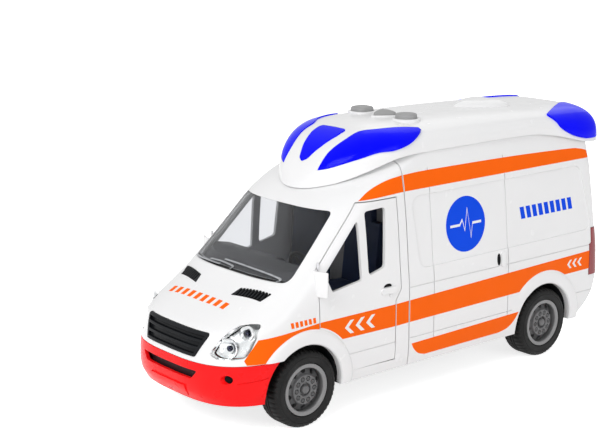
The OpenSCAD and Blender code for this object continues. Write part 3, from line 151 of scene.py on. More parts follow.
def plan(z, t):
    """The closed outline of the body at height z, inset by t."""
    x0, l, y, x1 = nose_x(z, t), nose_l(z, t), side_y(z, t), tail_x(z, t)
    r = REAR_ROUND - t
    a = np.radians(np.linspace(-90, 90, NOSE_N + 1))
    b = np.radians(np.linspace(-90, 90, TAIL_N + 1))
    nose = np.c_[x0 - l * (1 - power(np.cos(a), BODY_POWER)), y * power(np.sin(a), BODY_POWER)]
    tail = np.c_[x1 + r * (1 - power(np.cos(b), BODY_POWER)), -y * power(np.sin(b), BODY_POWER)]
    s = np.linspace(0, 1, SIDE_N + 2)[1:-1, None]
    left = nose[-1] + (tail[0] - nose[-1]) * s
    right = tail[-1] + (nose[0] - tail[-1]) * s
    xy = np.concatenate([nose, left, tail, right])
    return np.c_[xy, np.full(len(xy), z)]


def cap_low(x):
    return DECK_Z * flow(CAP, x / HALF_L, 1)


def cap_top(x, t=0.0):
    return DECK_Z * flow(CAP, (x + math.copysign(t, x)) / HALF_L, 2) - t


def cap_section(x, t, s):
    low = cap_low(x) - s
    top = max(cap_top(x, t), low + FIT)
    y = max(HALF_W * flow(CAP, (x + math.copysign(t, x)) / HALF_L, 3) - t, FIT)
    a = np.radians(np.linspace(0, 180, CAP_N + 1))
    return np.c_[np.full(len(a), x), y * power(np.cos(a), CAP_POWER),
                 low + (top - low) * power(np.sin(a), CAP_POWER)]


# Mesh helpers


def new_object(name, verts, faces):
    mesh = bpy.data.meshes.new(name)
    mesh.from_pydata([tuple(v) for v in np.asarray(verts) * MM], [], faces)
    obj = bpy.data.objects.new(name, mesh)
    bpy.context.scene.collection.objects.link(obj)
    bm = bmesh.new()
    bm.from_mesh(mesh)
    bmesh.ops.recalc_face_normals(bm, faces=bm.faces)
    bm.to_mesh(mesh)
    bm.free()
    return obj


def loft(name, sections, closed=True, wrap=False):
    """A surface through equal sections: closed ones make a solid with end caps, and wrap joins the ends."""
    s = np.asarray(sections, float)
    m, n = s.shape[:2]
    last = n if closed else n - 1
    faces = [(i * n + j, i * n + (j + 1) % n, (i + 1) % m * n + (j + 1) % n, (i + 1) % m * n + j)
             for i in range(m if wrap else m - 1) for j in range(last)]
    if closed and not wrap:
        faces += [tuple(range(n)), tuple(range((m - 1) * n, m * n))]
    return new_object(name, s.reshape(-1, 3), faces)


def body_form(t, low=SILL_Z, high=DECK_Z):
    return loft("form", [plan(z, t) for z in np.linspace(low, high, LEVELS)])


def cap_form(t, s):
    rear, front = HALF_L * CAP[0, 0] + t, HALF_L * CAP[-1, 0] - t
    u = np.concatenate([*[np.linspace(*run, False) for run in CAP_RUNS], np.linspace(*CAP_LAST_RUN)])
    return loft("cap", [cap_section(rear + (front - rear) * k, t, s) for k in u])


def prism(points, axis, low, high):
    """A prism over an outline seen along an axis: y takes (x, z), x takes (y, z) and z takes (x, y)."""
    order = {"x": (2, 0, 1), "y": (0, 2, 1), "z": (0, 1, 2)}[axis]
    p = np.asarray(points, float)
    ends = [np.c_[p, np.full(len(p), h)][:, order] for h in (low, high)]
    return loft("prism", ends)


def from_left(points, low=0.0):
    return prism(points, "y", low, FAR)


def from_front(points, low=0.0):
    return prism(points, "x", low, FAR)


def from_rear(points):
    return prism(points, "x", -FAR, -AXLE_X)


def from_top(points, low=40.0):
    return prism(points, "z", low, FAR)


def strip(x0, z0, x1, z1):
    """The outline of a rectangle between two corners."""
    return [(x0, z0), (x1, z0), (x1, z1), (x0, z1)]


def box(low, high):
    (a, b, c), (d, e, f) = low, high
    return prism(strip(a, b, d, e), "z", c, f)


def circle(x, y, r, n=96, ry=None):
    a = np.linspace(0, 2 * np.pi, n, False)
    return np.c_[x + r * np.cos(a), y + (ry or r) * np.sin(a)]


def pill(x, y, l, h, n=12):
    """A round-ended bar, l long along the first axis and h high, or upright where h is more than l."""
    r = min(l, h) / 2
    a = np.linspace(-np.pi / 2, np.pi / 2, n)
    dx, dy = l / 2 - r, h / 2 - r
    if l >= h:
        right = np.c_[x + dx + r * np.cos(a), y + r * np.sin(a)]
        return np.concatenate([right, 2 * np.array([x, y]) - right])
    top = np.c_[x - r * np.sin(a), y + dy + r * np.cos(a)]
    return np.concatenate([top, 2 * np.array([x, y]) - top])


def soft(points, r, n=6):
    """The outline with its corners rounded by r, or by what their sides have room for."""
    p = np.asarray(points, float)
    out = []
    for i, c in enumerate(p):
        a, b = p[i - 1] - c, p[(i + 1) % len(p)] - c
        la, lb = np.linalg.norm(a), np.linalg.norm(b)
        half = math.acos(np.clip(a @ b / la / lb, -1, 1)) / 2
        cut = min(r / math.tan(half), CORNER_SHARE * la, CORNER_SHARE * lb)
        q0, q1 = c + a / la * cut, c + b / lb * cut
        for k in np.linspace(0, 1, n + 1):
            out.append((1 - k) ** 2 * q0 + 2 * k * (1 - k) * c + k**2 * q1)
    return np.array(out)


def shares(points, sx, sy):
    return np.asarray(points, float) * (sx, sy)


def inset(points, d):
    """A convex or nearly convex outline moved inwards by d."""
    p = np.asarray(points, float)
    area = np.sum(p[:, 0] * np.roll(p[:, 1], -1) - np.roll(p[:, 0], -1) * p[:, 1])
    e = np.roll(p, -1, 0) - p
    nrm = np.c_[-e[:, 1], e[:, 0]] / np.maximum(np.linalg.norm(e, axis=1), TINY)[:, None]
    nrm *= np.sign(area)
    m = nrm + np.roll(nrm, 1, 0)
    m /= np.maximum(np.sum(m * m, axis=1), LEAST_MITRE)[:, None] / 2
    return p + m * d


def apply(obj):
    """Puts the modifiers' result into the object's own mesh."""
    graph = bpy.context.evaluated_depsgraph_get()
    mesh = bpy.data.meshes.new_from_object(obj.evaluated_get(graph))
    obj.modifiers.clear()
    old, obj.data = obj.data, mesh
    bpy.data.meshes.remove(old)
    return obj


def drop(*objs):
    for o in objs:
        mesh = o.data
        bpy.data.objects.remove(o)
        bpy.data.meshes.remove(mesh)


def carve(obj, cut=(), keep=()):
    """Cuts solids from an object and keeps only what lies within others. The cutters are used up."""
    for tools, way in ((keep, "INTERSECT"), (cut, "DIFFERENCE")):
        for tool in tools:
            m = obj.modifiers.new(way, "BOOLEAN")
            m.operation, m.object, m.solver = way, tool, "MANIFOLD"
    apply(obj)
    drop(*cut, *keep)
    return obj


def join(*objs):
    """Joins objects into the first one."""
    first = objs[0]
    bm = bmesh.new()
    for o in objs:
        bm.from_mesh(o.data)
    bm.to_mesh(first.data)
    bm.free()
    drop(*objs[1:])
    return first


def copy(obj):
    twin = bpy.data.objects.new(obj.name, obj.data.copy())
    bpy.context.scene.collection.objects.link(twin)
    return twin


def mirror(obj):
    """Turns an object over to the other side of the vehicle."""
    obj.data.transform(Matrix.Scale(-1, 4, (0, 1, 0)))
    obj.data.flip_normals()
    return obj


def flipped(obj):
    """A mirrored copy on the other side of the vehicle."""
    return mirror(copy(obj))


def both(obj):
    return [flipped(obj), obj]


def sides(obj):
    """The right twin and the left original of an object, with their names."""
    return ("right", flipped(obj)), ("left", obj)


def skin(t0, t1, low=SILL_Z, high=DECK_Z):
    """A layer of the body between two insets."""
    return carve(body_form(t0, low, high), [body_form(t1, SILL_Z - OPEN_FOOT, DECK_Z - WALL)])


def turned(name, profile, n=96):
    """A ring about the z axis through an outline of (radius, height)."""
    a = np.linspace(0, 2 * np.pi, n, False)
    rows = [[(r * math.cos(k), r * math.sin(k), h) for r, h in profile] for k in a]
    return loft(name, rows, wrap=True)


def moved(obj, x=0.0, y=0.0, z=0.0):
    obj.data.transform(Matrix.Translation(Vector((x, y, z)) * MM))
    return obj


def rotated(obj, degrees, axis):
    obj.data.transform(Matrix.Rotation(math.radians(degrees), 4, axis))
    return obj


def piece(obj, name, body, material, nodes=(), sharp=PIECE_SHARP):
    """Names an object, gives it its finish, and hangs it on its body in place of the given nodes."""
    obj.name = obj.data.name = name
    obj.data.materials.clear()
    obj.data.materials.append(material)
    obj.data.shade_smooth()
    obj.data.set_sharp_from_angle(angle=math.radians(sharp))
    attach(obj, body)
    if nodes:
        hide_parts(*nodes)


# Materials

# Scale and detail of the soft changes in tone and gloss, and the detail of the fine grain
TONE_NOISE, GLOSS_NOISE, GRAIN_DETAIL = (28.0, 3.0), (140.0, 4.0), 2.0
NOISE_LOW, NOISE_HIGH, GLOSS_SPREAD = 0.3, 0.7, 0.15
BEVEL_SAMPLES, GRAIN_DEPTH = 6, 0.0001


def surface(name, color, roughness, grain=0.0, grain_scale=900.0, wear=0.0, edge=0.0, **sockets):
    """A moulded or plated finish: tone and gloss vary softly, with fine grain and rounded edges."""
    mat = bpy.data.materials.new(name)
    mat.use_nodes = True
    nodes, links = mat.node_tree.nodes, mat.node_tree.links
    shader = nodes["Principled BSDF"]
    for key, value in sockets.items():
        shader.inputs[key.replace("_", " ")].default_value = value
    place = nodes.new("ShaderNodeTexCoord").outputs["Object"]

    def noise(scale, detail):
        n = nodes.new("ShaderNodeTexNoise")
        n.inputs["Scale"].default_value = scale
        n.inputs["Detail"].default_value = detail
        links.new(place, n.inputs["Vector"])
        return n.outputs["Fac"]

    def spread(fac, low, high):
        r = nodes.new("ShaderNodeMapRange")
        r.inputs["From Min"].default_value, r.inputs["From Max"].default_value = NOISE_LOW, NOISE_HIGH
        r.inputs["To Min"].default_value, r.inputs["To Max"].default_value = low, high
        links.new(fac, r.inputs["Value"])
        return r.outputs["Result"]

    shader.inputs["Base Color"].default_value = (*color, 1)
    if wear:
        tone = nodes.new("ShaderNodeMix")
        tone.data_type = "RGBA"
        links.new(spread(noise(*TONE_NOISE), 0, 1), tone.inputs["Factor"])
        tone.inputs["A"].default_value = (*[c * (1 - wear) for c in color], 1)
        tone.inputs["B"].default_value = (*color, 1)
        links.new(tone.outputs["Result"], shader.inputs["Base Color"])
    gloss = spread(noise(*GLOSS_NOISE), roughness * (1 - GLOSS_SPREAD), roughness * (1 + GLOSS_SPREAD))
    links.new(gloss, shader.inputs["Roughness"])
    normal = None
    if edge:
        round_edge = nodes.new("ShaderNodeBevel")
        round_edge.samples = BEVEL_SAMPLES
        round_edge.inputs["Radius"].default_value = edge * MM
        normal = round_edge.outputs["Normal"]
    if grain:
        bump = nodes.new("ShaderNodeBump")
        bump.inputs["Strength"].default_value = grain
        bump.inputs["Distance"].default_value = GRAIN_DEPTH
        links.new(noise(grain_scale, GRAIN_DETAIL), bump.inputs["Height"])
        if normal:
            links.new(normal, bump.inputs["Normal"])
        normal = bump.outputs["Normal"]
    if normal:
        links.new(normal, shader.inputs["Normal"])
    return mat


# Finishes: colour, roughness, grain, its scale, wear, and the radius of rounded edges in millimetres
WHITE = surface("white_plastic", (0.86, 0.86, 0.865), 0.24, 0.05, 300, 0.015, 0.35, Specular_IOR_Level=0.35)
WHITE_FLAT = surface("white_print", (0.88, 0.88, 0.88), 0.4, 0.05, 500, 0.02, Specular_IOR_Level=0.2)
ORANGE = surface("orange_print", (1.0, 0.135, 0.0), 0.45, 0.05, 500, 0.03, Specular_IOR_Level=0.1)
BLUE_PRINT = surface("blue_print", (0.0, 0.07, 0.8), 0.45, 0.05, 500, 0.04, Specular_IOR_Level=0.1)
RED = surface("red_plastic", (0.98, 0.008, 0.01), 0.3, 0.06, 300, 0.04, 0.35, Specular_IOR_Level=0.15)
BLACK = surface("black_plastic", (0.006, 0.007, 0.009), 0.4, 0.15, 900, 0.2, 0.2, Specular_IOR_Level=0.18)
SEAT = surface("seat_blue", (0.014, 0.024, 0.06), 0.5, 0.2, 700, 0.25, 0.4, Specular_IOR_Level=0.3)
# Painted light: a mid grey for the dash and the bulkhead's lining, lighter than the dark interior, standing
# in for the light inside the cab
TRIM_PAINTED_LIGHT = surface("trim_painted_light", (0.24, 0.24, 0.245), 0.5, 0.2, 700, 0.15, 0.4, Specular_IOR_Level=0.3)
# Painted highlight: the wipers' light grey stands in for the light caught by wipers moulded in the clear pane
WIPER = surface("wiper", (0.42, 0.43, 0.45), 0.3, 0.1, 900, 0.1)
DARK = surface("dark_plastic", (0.012, 0.015, 0.026), 0.45, 0.2, 700, 0.25, 0.4, Specular_IOR_Level=0.3)
# Painted shade: a near-black finish laid in the handle pockets, the fog lamp cups and the slide's hole,
# standing in for the shade in these hollows
POCKET_SHADE = surface("pocket_painted_shade", (0.005, 0.005, 0.006), 0.6, 0.1, 900, 0.2, Specular_IOR_Level=0.1)
SHADE = surface("slot_shade", (0.035, 0.011, 0.014), 0.5, 0.2, 900, 0.25, Specular_IOR_Level=0.2)
BULB = surface("bulb_shade", (0.012, 0.014, 0.035), 0.35, 0.1, 900, 0.2, Specular_IOR_Level=0.2)
GREY_RUBBER = surface("grey_rubber", (0.34, 0.34, 0.34), 0.55, 0.2, 1200, 0.06, 0.4, Specular_IOR_Level=0.3)
TYRE = surface("tyre_rubber", (0.008, 0.008, 0.008), 0.6, 0.35, 800, 0.3, 0.2, Specular_IOR_Level=0.22)
RIM = surface("rim_grey", (0.12, 0.12, 0.123), 0.42, 0.12, 900, 0.12, 0.25)
RIM_LIP = surface("rim_lip", (0.24, 0.24, 0.243), 0.36, 0.12, 900, 0.1, 0.25)
STEEL = surface("bright_steel", (0.6, 0.6, 0.62), 0.3, 0.1, 1500, 0.1, Metallic=1.0)
CHROME = surface("plated", (0.88, 0.89, 0.9), 0.3, 0.5, 350, 0.08, Metallic=1.0)
GLASS = surface("tinted_pane", (0.56, 0.57, 0.59), 0.03, Transmission_Weight=1.0, IOR=1.35)
LENS = surface("lamp_lens", (0.97, 0.98, 0.98), 0.03, 0.1, 250, Transmission_Weight=1.0, IOR=1.2)
# Painted light: the blue lens glows faintly to brighten its blue; the beacon is not shown lit
BLUE = surface("blue_lens", (0.0, 0.001, 0.88), 0.12, 0.06, 120, 0.18, 0.9, Specular_IOR_Level=0.08,
               Emission_Color=(0, 0, 1, 1), Emission_Strength=0.16)
RED_LENS = surface("red_lens", (0.28, 0.012, 0.02), 0.15, 0.1, 400, 0.2, 0.4)
GEAR = surface("gear_plastic", (0.75, 0.7, 0.55), 0.4, 0.1, 700, 0.05)
BOARD = surface("board", (0.02, 0.13, 0.05), 0.4, 0.2, 500, 0.15)
WIRE = surface("wire", (0.45, 0.02, 0.02), 0.45, 0.1, 900, 0.1)
RESIN = surface("lamp_resin", (0.5, 0.6, 0.95), 0.1, Transmission_Weight=0.6)

SLOT_FINISH = {
    "white_plastic": WHITE, "red_plastic": RED, "black_plastic": BLACK, "dark_plastic": DARK,
    "clear_plastic": GLASS, "bright_plating": CHROME, "blue_lens": BLUE, "red_lens": RED_LENS,
    "grey_rubber": GREY_RUBBER, "steel": STEEL, "gear_plastic": GEAR, "board": BOARD, "lamp": RESIN,
    "wire": WIRE, "tyre": TYRE, "rim": RIM}
for part in frame["record"]["subparts"]:
    node = frame["nodes"][part["node"]]
    node.data.materials.clear()
    node.data.materials.append(SLOT_FINISH[part["material_slot"]])
    node.data.shade_smooth()
    node.data.set_sharp_from_angle(angle=math.radians(NODE_SHARP))
frame["nodes"]["cab_interior"].data.materials[0] = SEAT

# Outlines

ARCH_N, PRINT_ARCH_R = 24, FLARE_R + 0.6


def arch_line(x, start, end, r=PRINT_ARCH_R):
    """Points round a wheel arch between two angles in degrees."""
    a = np.radians(np.linspace(start, end, ARCH_N))
    return [(x + r * math.cos(k), AXLE_Z + r * math.sin(k)) for k in a]


DOOR_UPPER_REAR_X = 24.2
DOOR = [(DOOR_REAR_X, DOOR_LOW_Z), (57.0, DOOR_LOW_Z), *arch_line(AXLE_X, 173.3, 106, FLARE_R + DOOR_GAP),
        (DOOR_FRONT_X, DOOR_PILLAR_Z), (DOOR_TOP_X, DOOR_HIGH_Z), (DOOR_UPPER_REAR_X, DOOR_HIGH_Z),
        (DOOR_UPPER_REAR_X, 59.0), (DOOR_REAR_X, 53.5)]
QUARTER = [(73.5, 74.5), (69.3, 65.0), (49.8, 67.6), (50.6, 97.6)]
PANE = [(46.0, 100.9), (32.0, 101.5), (34.4, 71.6), (45.4, 68.9)]
GRILLE = soft([(-20.0, 39.5), (20.0, 39.5), (25.5, 51.2), (-25.5, 51.2)], 1.6)
LAMP = soft(shares([(0.592, 0.333), (0.737, 0.437), (0.820, 0.444), (0.893, 0.4445), (0.921, 0.398),
                    (0.907, 0.347), (0.885, 0.3235), (0.793, 0.3195), (0.676, 0.3195)], HALF_W, DECK_Z), 2.0)
LAMP_BACK_X = 0.77 * HALF_L
SCREEN = soft([(-37.6, 71.4), (37.6, 71.4), (33.8, 101.9), (-33.8, 101.9)], 3.0)
VENT = shares([(0.757, 0.358), (0.724, 0.752), (0.764, 0.712), (0.792, 0.315)], HALF_L, HALF_W)
SLOT = soft([(-18.6, 28.8), (18.6, 28.8), (22.5, 33.2), (-22.5, 33.2)], 0.8)
LEAF = [(-LEAF_LOW_Y, LEAF_LOW_Z), (-DOOR_GAP / 2, LEAF_LOW_Z), (-DOOR_GAP / 2, LEAF_HIGH_Z),
        (-LEAF_HIGH_Y, LEAF_HIGH_Z)]
RECESS = soft(shares([(0.104, 0.825), (0.072, 0.530), (-0.925, 0.535), (-0.862, 0.829)], HALF_L, DECK_Z), 6.0)
TAIL_LAMP = shares([(-1.1, 0.322), (-0.908, 0.322), (-0.908, 0.466), (-0.918, 0.472), (-0.918, 0.54),
                    (-1.1, 0.54)], HALF_L, DECK_Z)
FRONT_INNER = shares([(0.3875, 0.287), (0.344, 0.300), (0.328, 0.313), (0.269, 0.367), (0.207, 0.393),
                      (0.151, 0.509), (0.070, 0.602), (0, 0.678), (0, 1.2), (0.5, 1.2), (0.5, 0.28)],
                     HALF_L, HALF_W)
FRONT_LOWER = shares([(0.392, 0.934), (0.362, 0.949), (0.321, 0.971), (0.273, 0.991), (0.218, 1.010),
                      (0.157, 1.015), (0.089, 1.033), (0.029, 1.063), (0, 1.079), (0, 1.2), (0.5, 1.2)],
                     HALF_L, DECK_Z)
REAR_INNER = shares([(-0.701, 0.752), (-0.76, 0.665), (-0.85, 0.52), (-0.94, 0.405), (-1.1, 0.372),
                     (-1.1, 1.2), (-0.701, 1.2)], HALF_L, HALF_W)
REAR_LOWER = shares([(-0.690, 1.2), (-0.690, 1.072), (-0.721, 1.039), (-0.746, 1.007), (-0.807, 0.972),
                     (-0.865, 0.954), (-0.918, 0.947), (-1.1, 0.947), (-1.1, 1.2)], HALF_L, DECK_Z)
CENTRE = shares([(0.3795, 0), (0.369, 0.072), (0.325, 0.150), (0.268, 0.210), (0.231, 0.214), (0.2185, 0.190),
                 (0.2165, 0), (0.2185, -0.190), (0.231, -0.214), (0.268, -0.210), (0.325, -0.150),
                 (0.369, -0.072)], HALF_L, HALF_W)
# The wheel arch's band: its lowest edge over the skin, the angle in which it grows, and its points
BAND_FOOT, BAND_GROW, BAND_N = -0.25, 0.25, 90


def ahead(x):
    return box((x, -FAR, -FAR), (FAR, FAR, FAR))


def behind(x):
    return box((-FAR, -FAR, -FAR), (x, FAR, FAR))


def wheel_hole(x, r):
    return prism(circle(x, AXLE_Z, r), "y", -FAR, FAR)


def arch_band(x, start_z, start=0.0):
    """The raised band round a wheel arch on the left. Its front leg begins at start_z or at an angle."""
    profile = [(FLARE_R + 0.7, BAND_FOOT), (FLARE_R + 0.2, 0.15), (FLARE_R - 0.5, 0.6), (FLARE_R - 1.5, 0.85),
               (FLARE_R - 3.0, FLARE_T), (ARCH_R + 1.6, FLARE_T), (ARCH_R + 0.6, FLARE_T - 0.15),
               (ARCH_R + 0.1, FLARE_T - 0.7), (ARCH_R, -0.5), (ARCH_R, -3.2)]
    rows = []
    for r, h in profile:
        first = max(start, math.asin((start_z - AXLE_Z) / r))
        a = np.linspace(first, math.pi - math.asin((SILL_Z - AXLE_Z) / r), BAND_N)
        px, pz = x + r * np.cos(a), AXLE_Z + r * np.sin(a)
        grow = np.clip((a - start) / BAND_GROW, 0, 1) if start else 1.0
        out = h if h < BAND_FOOT else BAND_FOOT + (h - BAND_FOOT) * grow
        rows.append(np.c_[px, body_y(px, pz) + out, pz])
    return loft("arch", rows, closed=False)


# Body shells

# Room cut under the edge of the door's opening
DOOR_RELIEF = 0.6
# Engraved upright lines and level belts on the sides
LINE_XS, LINE_LOW_Z, LINE_HIGH_Z, LINE_W, LINE_IN = (0.3, -56.0), 27.7, 117.0, 0.5, 0.8
BELT_ZS, BELT_H, BELT_IN = (31.5, 58.2), 0.4, 0.4
# The tail lamp's inner edge and the depth of its pocket
TAIL_Y, TAIL_POCKET_IN = LEAF_LOW_Y + 3, 1.0
# Room at the hinges of the rear doors, and how far their two openings lap in the middle
HINGE_ROOM, HOLE_LAP = 0.5, 0.1
REAR_BAND_START = math.radians(38)

lamp = from_front(LAMP, LAMP_BACK_X)
vent = from_top(VENT)
door_gap = inset(DOOR, -DOOR_GAP)
door_relief = carve(from_left(inset(DOOR, -DOOR_GAP - DOOR_RELIEF)), (), [body_form(DOOR_RELIEF)])
cab = carve(skin(0, WALL), [
    behind(JOINT_X + JOINT_GAP / 2), box((AXLE_X, -FAR, -FAR), (FAR, FAR, BUMPER_TOP_Z + FIT)),
    wheel_hole(AXLE_X, ARCH_R), *both(from_left(door_gap)), *both(door_relief), *both(lamp), *both(vent),
    from_front(SCREEN, SCREEN_CUT_X), from_front(GRILLE, NOSE_CUT_X)])
band = arch_band(AXLE_X, BUMPER_TOP_Z + FIT)
piece(join(cab, *both(band)), "cab_skin", "body", WHITE, ["cab_shell"])

recess = carve(from_left(RECESS), [body_form(PANEL_IN)])
grooves = [carve(from_left(strip(x, LINE_LOW_Z, x + LINE_W, LINE_HIGH_Z)), [body_form(LINE_IN)])
           for x in LINE_XS]
grooves += [carve(from_left(strip(-FAR, z, JOINT_X, z + BELT_H)), [body_form(BELT_IN)]) for z in BELT_ZS]
for groove in grooves:
    carve(groove, [wheel_hole(-AXLE_X, FLARE_R)])
tail_pocket = carve(from_left(TAIL_LAMP), [body_form(TAIL_POCKET_IN)],
                    [behind(-AXLE_X), box((-FAR, TAIL_Y, 0), (FAR, FAR, FAR))])
hinge_gap = -LEAF_GAP - HINGE_ROOM
leaf_hole = np.array(LEAF) + [(hinge_gap, -DOOR_GAP), (0, -DOOR_GAP), (0, DOOR_GAP), (hinge_gap, DOOR_GAP)]
leaf_hole[1:3, 0] = HOLE_LAP
van = carve(skin(0, WALL), [
    ahead(JOINT_X - JOINT_GAP / 2), wheel_hole(-AXLE_X, ARCH_R), *both(recess),
    *[o for groove in grooves for o in both(groove)], *both(tail_pocket), *both(from_rear(leaf_hole))])
band = arch_band(-AXLE_X, SILL_Z, REAR_BAND_START)
piece(join(van, *both(band)), "box_skin", "body", WHITE, ["box_shell"])

# Doors

HANDLE = pill(32.6, 59.6, 11.0, 3.3)
HANDLE_POCKET = circle(33.0, 61.4, 2.9, 40, 1.6)
LOCK = circle(31.4, 56.8, 0.9, 24)
DOOR_BELT = strip(20, BELT_ZS[0], 90, BELT_ZS[0] + BELT_H)
QUARTER_ROUND, PANE_ROUND = 1.2, 2.2
HANDLE_OUT, LOCK_OUT, GRIP_OUT, DOOR_BELT_IN = 1.1, 0.5, 1.2, 0.35
# The handle's pocket: its depth, and the depths between which its lining lies. The lining's near-black colour
# is painted shade in the pocket.
POCKET_IN, LINING_HIGH_IN, LINING_LOW_IN = 1.2, 0.6, 1.6
door = carve(skin(0, WALL), [
    from_left(soft(QUARTER, QUARTER_ROUND)), from_left(soft(PANE, PANE_ROUND)),
    carve(from_left(HANDLE_POCKET), [body_form(POCKET_IN)]),
    carve(from_left(DOOR_BELT), [body_form(DOOR_BELT_IN)])], [from_left(DOOR)])
bar = carve(body_form(-HANDLE_OUT), [body_form(ROOT_IN)], [from_left(HANDLE)])
lock = carve(body_form(-LOCK_OUT), [body_form(ROOT_IN)], [from_left(LOCK)])
door = join(door, bar, lock)
pocket = carve(from_left(HANDLE_POCKET), [body_form(LINING_LOW_IN)], [body_form(LINING_HIGH_IN)])
for side, leaf, hole in (("right", *[flipped(o) for o in (door, pocket)]), ("left", door, pocket)):
    body = side + "_cab_door"
    piece(leaf, "cab_door_skin_" + side, body, WHITE, ["cab_door_" + side])
    piece(hole, "door_pocket_" + side, body, POCKET_SHADE)

LEAF_PANEL = soft([(-31.3, 73.1), (-4.6, 73.1), (-4.6, 100.8), (-30.0, 100.8)], 4.0)
GRIP = pill(-6.4, 63, 7.4, 4.4)
leaf = carve(skin(0, WALL), [carve(from_rear(LEAF_PANEL), [body_form(PANEL_IN)])], [from_rear(LEAF)])
grip = carve(body_form(-GRIP_OUT), [body_form(ROOT_IN)], [from_rear(GRIP)])
leaf = join(leaf, grip)
for side, wing in (("left", flipped(leaf)), ("right", leaf)):
    piece(wing, "rear_door_skin_" + side, side + "_rear_door", WHITE, ["rear_door_" + side])

# Roof cap, lenses and buttons


def curve(points, n=8):
    """A smooth open line through points."""
    p = np.asarray(points, float)
    q = np.vstack([2 * p[0] - p[1], p, 2 * p[-1] - p[-2]])
    out = []
    for a, b, c, d in zip(q[:-3], q[1:-2], q[2:-1], q[3:]):
        for t in np.linspace(0, 1, n, False):
            bend, twist = 2 * a - 5 * b + 4 * c - d, 3 * b - a - 3 * c + d
            out.append(0.5 * (2 * b + (c - a) * t + bend * t**2 + twist * t**3))
    return np.array(out + [p[-1]])


def with_corners(points, n):
    """Smooths the first n points of an outline and keeps the others as corners."""
    return np.concatenate([curve(points[:n]), points[n:]])


FRONT_ZONE = (with_corners(FRONT_LOWER, 9), with_corners(FRONT_INNER, 8))
REAR_LINE = np.concatenate([REAR_LOWER[:1], curve(REAR_LOWER[1:8]), REAR_LOWER[8:]])
REAR_ZONE = (REAR_LINE, with_corners(REAR_INNER, 5))
CENTRE_LINE, CENTRE_LOW_Z = soft(CENTRE, 3.0, 5), 63.0


def zone(lower, inner):
    return carve(from_left(lower, -FAR), (), [from_top(inner)])


def lens(tool):
    return carve(cap_form(-LENS_OUT, 0), [cap_form(CAP_WALL / 2 - SEAM, CAP_SKIRT)], [tool])


def lens_tools():
    return zone(*FRONT_ZONE), zone(*REAR_ZONE), from_top(CENTRE_LINE, CENTRE_LOW_Z)


# Radius and rounding of the three-sided button, half side and rounding of the square one
TRIANGLE_R, TRIANGLE_ROUND = 0.73 * BUTTON_D, 0.2 * BUTTON_D
SQUARE_HALF, SQUARE_ROUND = 0.46 * BUTTON_D, 0.33 * BUTTON_D


def button_outline(k):
    """A round button on the left, a three-sided one in the middle and a square one on the right."""
    if k > 0:
        return circle(0, 0, BUTTON_D / 2, 48)
    if k == 0:
        return soft(circle(0, 0, TRIANGLE_R, 3), TRIANGLE_ROUND, 12)
    s = SQUARE_HALF
    return soft([(s, -s), (s, s), (-s, s), (-s, -s)], SQUARE_ROUND, 10)


def stack(outline, rows):
    """A loft of one outline, scaled and raised as each row of (scale, height) says."""
    return loft("stack", [np.c_[outline * s, np.full(len(outline), h)] for s, h in rows])


BUTTON_Z = float(cap_top(BUTTON_X)) + BEZEL_H
POD = curve([(-57.0, 0.0), (-64.0, 7.0), (-76.0, 13.0), (-86.0, 14.2), (-90.0, 10.5)], 8)
POD_Z = float(cap_top(-HALF_L / 2))
POD_MID = np.array([-79.0, 0.0])
POD_ROWS = ((1.06, -1.5), (1.0, 0.1), (0.93, 1.1), (0.82, 1.9), (0.66, 2.5), (0.45, 2.8))
# The buttons' bezels and wells: heights, and scales of the button's own outline
BEZEL_FOOT_Z, BEZEL_EDGE, WELL_FOOT_Z, WELL_TOP_Z, BUTTON_FOOT_Z = 132.0, 0.4, 131.0, 150.0, 134.9
BEZEL_WIDE, BEZEL_NARROW, WELL_WIDE = 1 + 2.6 * BEZEL_W / BUTTON_D, 1 + 2.0 * BEZEL_W / BUTTON_D, 1.05
pod_line = np.concatenate([POD, POD[::-1] * (1, -1)])[:-1]
pod = loft("pod", [np.c_[POD_MID + (pod_line - POD_MID) * s, np.full(len(pod_line), POD_Z + h)]
                   for s, h in POD_ROWS])
bezels = []
wells = []
for k in (-1, 0, 1):
    line = button_outline(k)
    rows = [(BEZEL_WIDE, BEZEL_FOOT_Z), (BEZEL_WIDE, BUTTON_Z - BEZEL_EDGE), (BEZEL_NARROW, BUTTON_Z)]
    bezels.append(moved(stack(line, rows), BUTTON_X, k * BUTTON_PITCH))
    well = stack(line, [(WELL_WIDE, WELL_FOOT_Z), (WELL_WIDE, WELL_TOP_Z)])
    wells.append(moved(well, BUTTON_X, k * BUTTON_PITCH))
cap = cap_form(0, 0)
for extra in (pod, *bezels):
    m = cap.modifiers.new("add", "BOOLEAN")
    m.operation, m.object, m.solver = "UNION", extra, "MANIFOLD"
apply(cap)
drop(pod, *bezels)
front_cut, rear_cut, centre_cut = [carve(tool, [cap_form(CAP_WALL / 2, CAP_SKIRT)]) for tool in lens_tools()]
carve(cap, [body_form(-FIT, SILL_Z, DECK_Z + FIT), *both(front_cut), *both(rear_cut), centre_cut, *wells])
piece(cap, "roof_cap_skin", "body", WHITE, ["roof_cap"])

front_lens, rear_lens, centre_lens = [lens(tool) for tool in lens_tools()]
LENSES = (("front_right", flipped(front_lens)), ("front_left", front_lens), ("front_centre", centre_lens),
          ("rear_right", flipped(rear_lens)), ("rear_left", rear_lens))
for name, obj in LENSES:
    piece(obj, "beacon_lens_" + name, "body", BLUE, ["beacon_" + name])

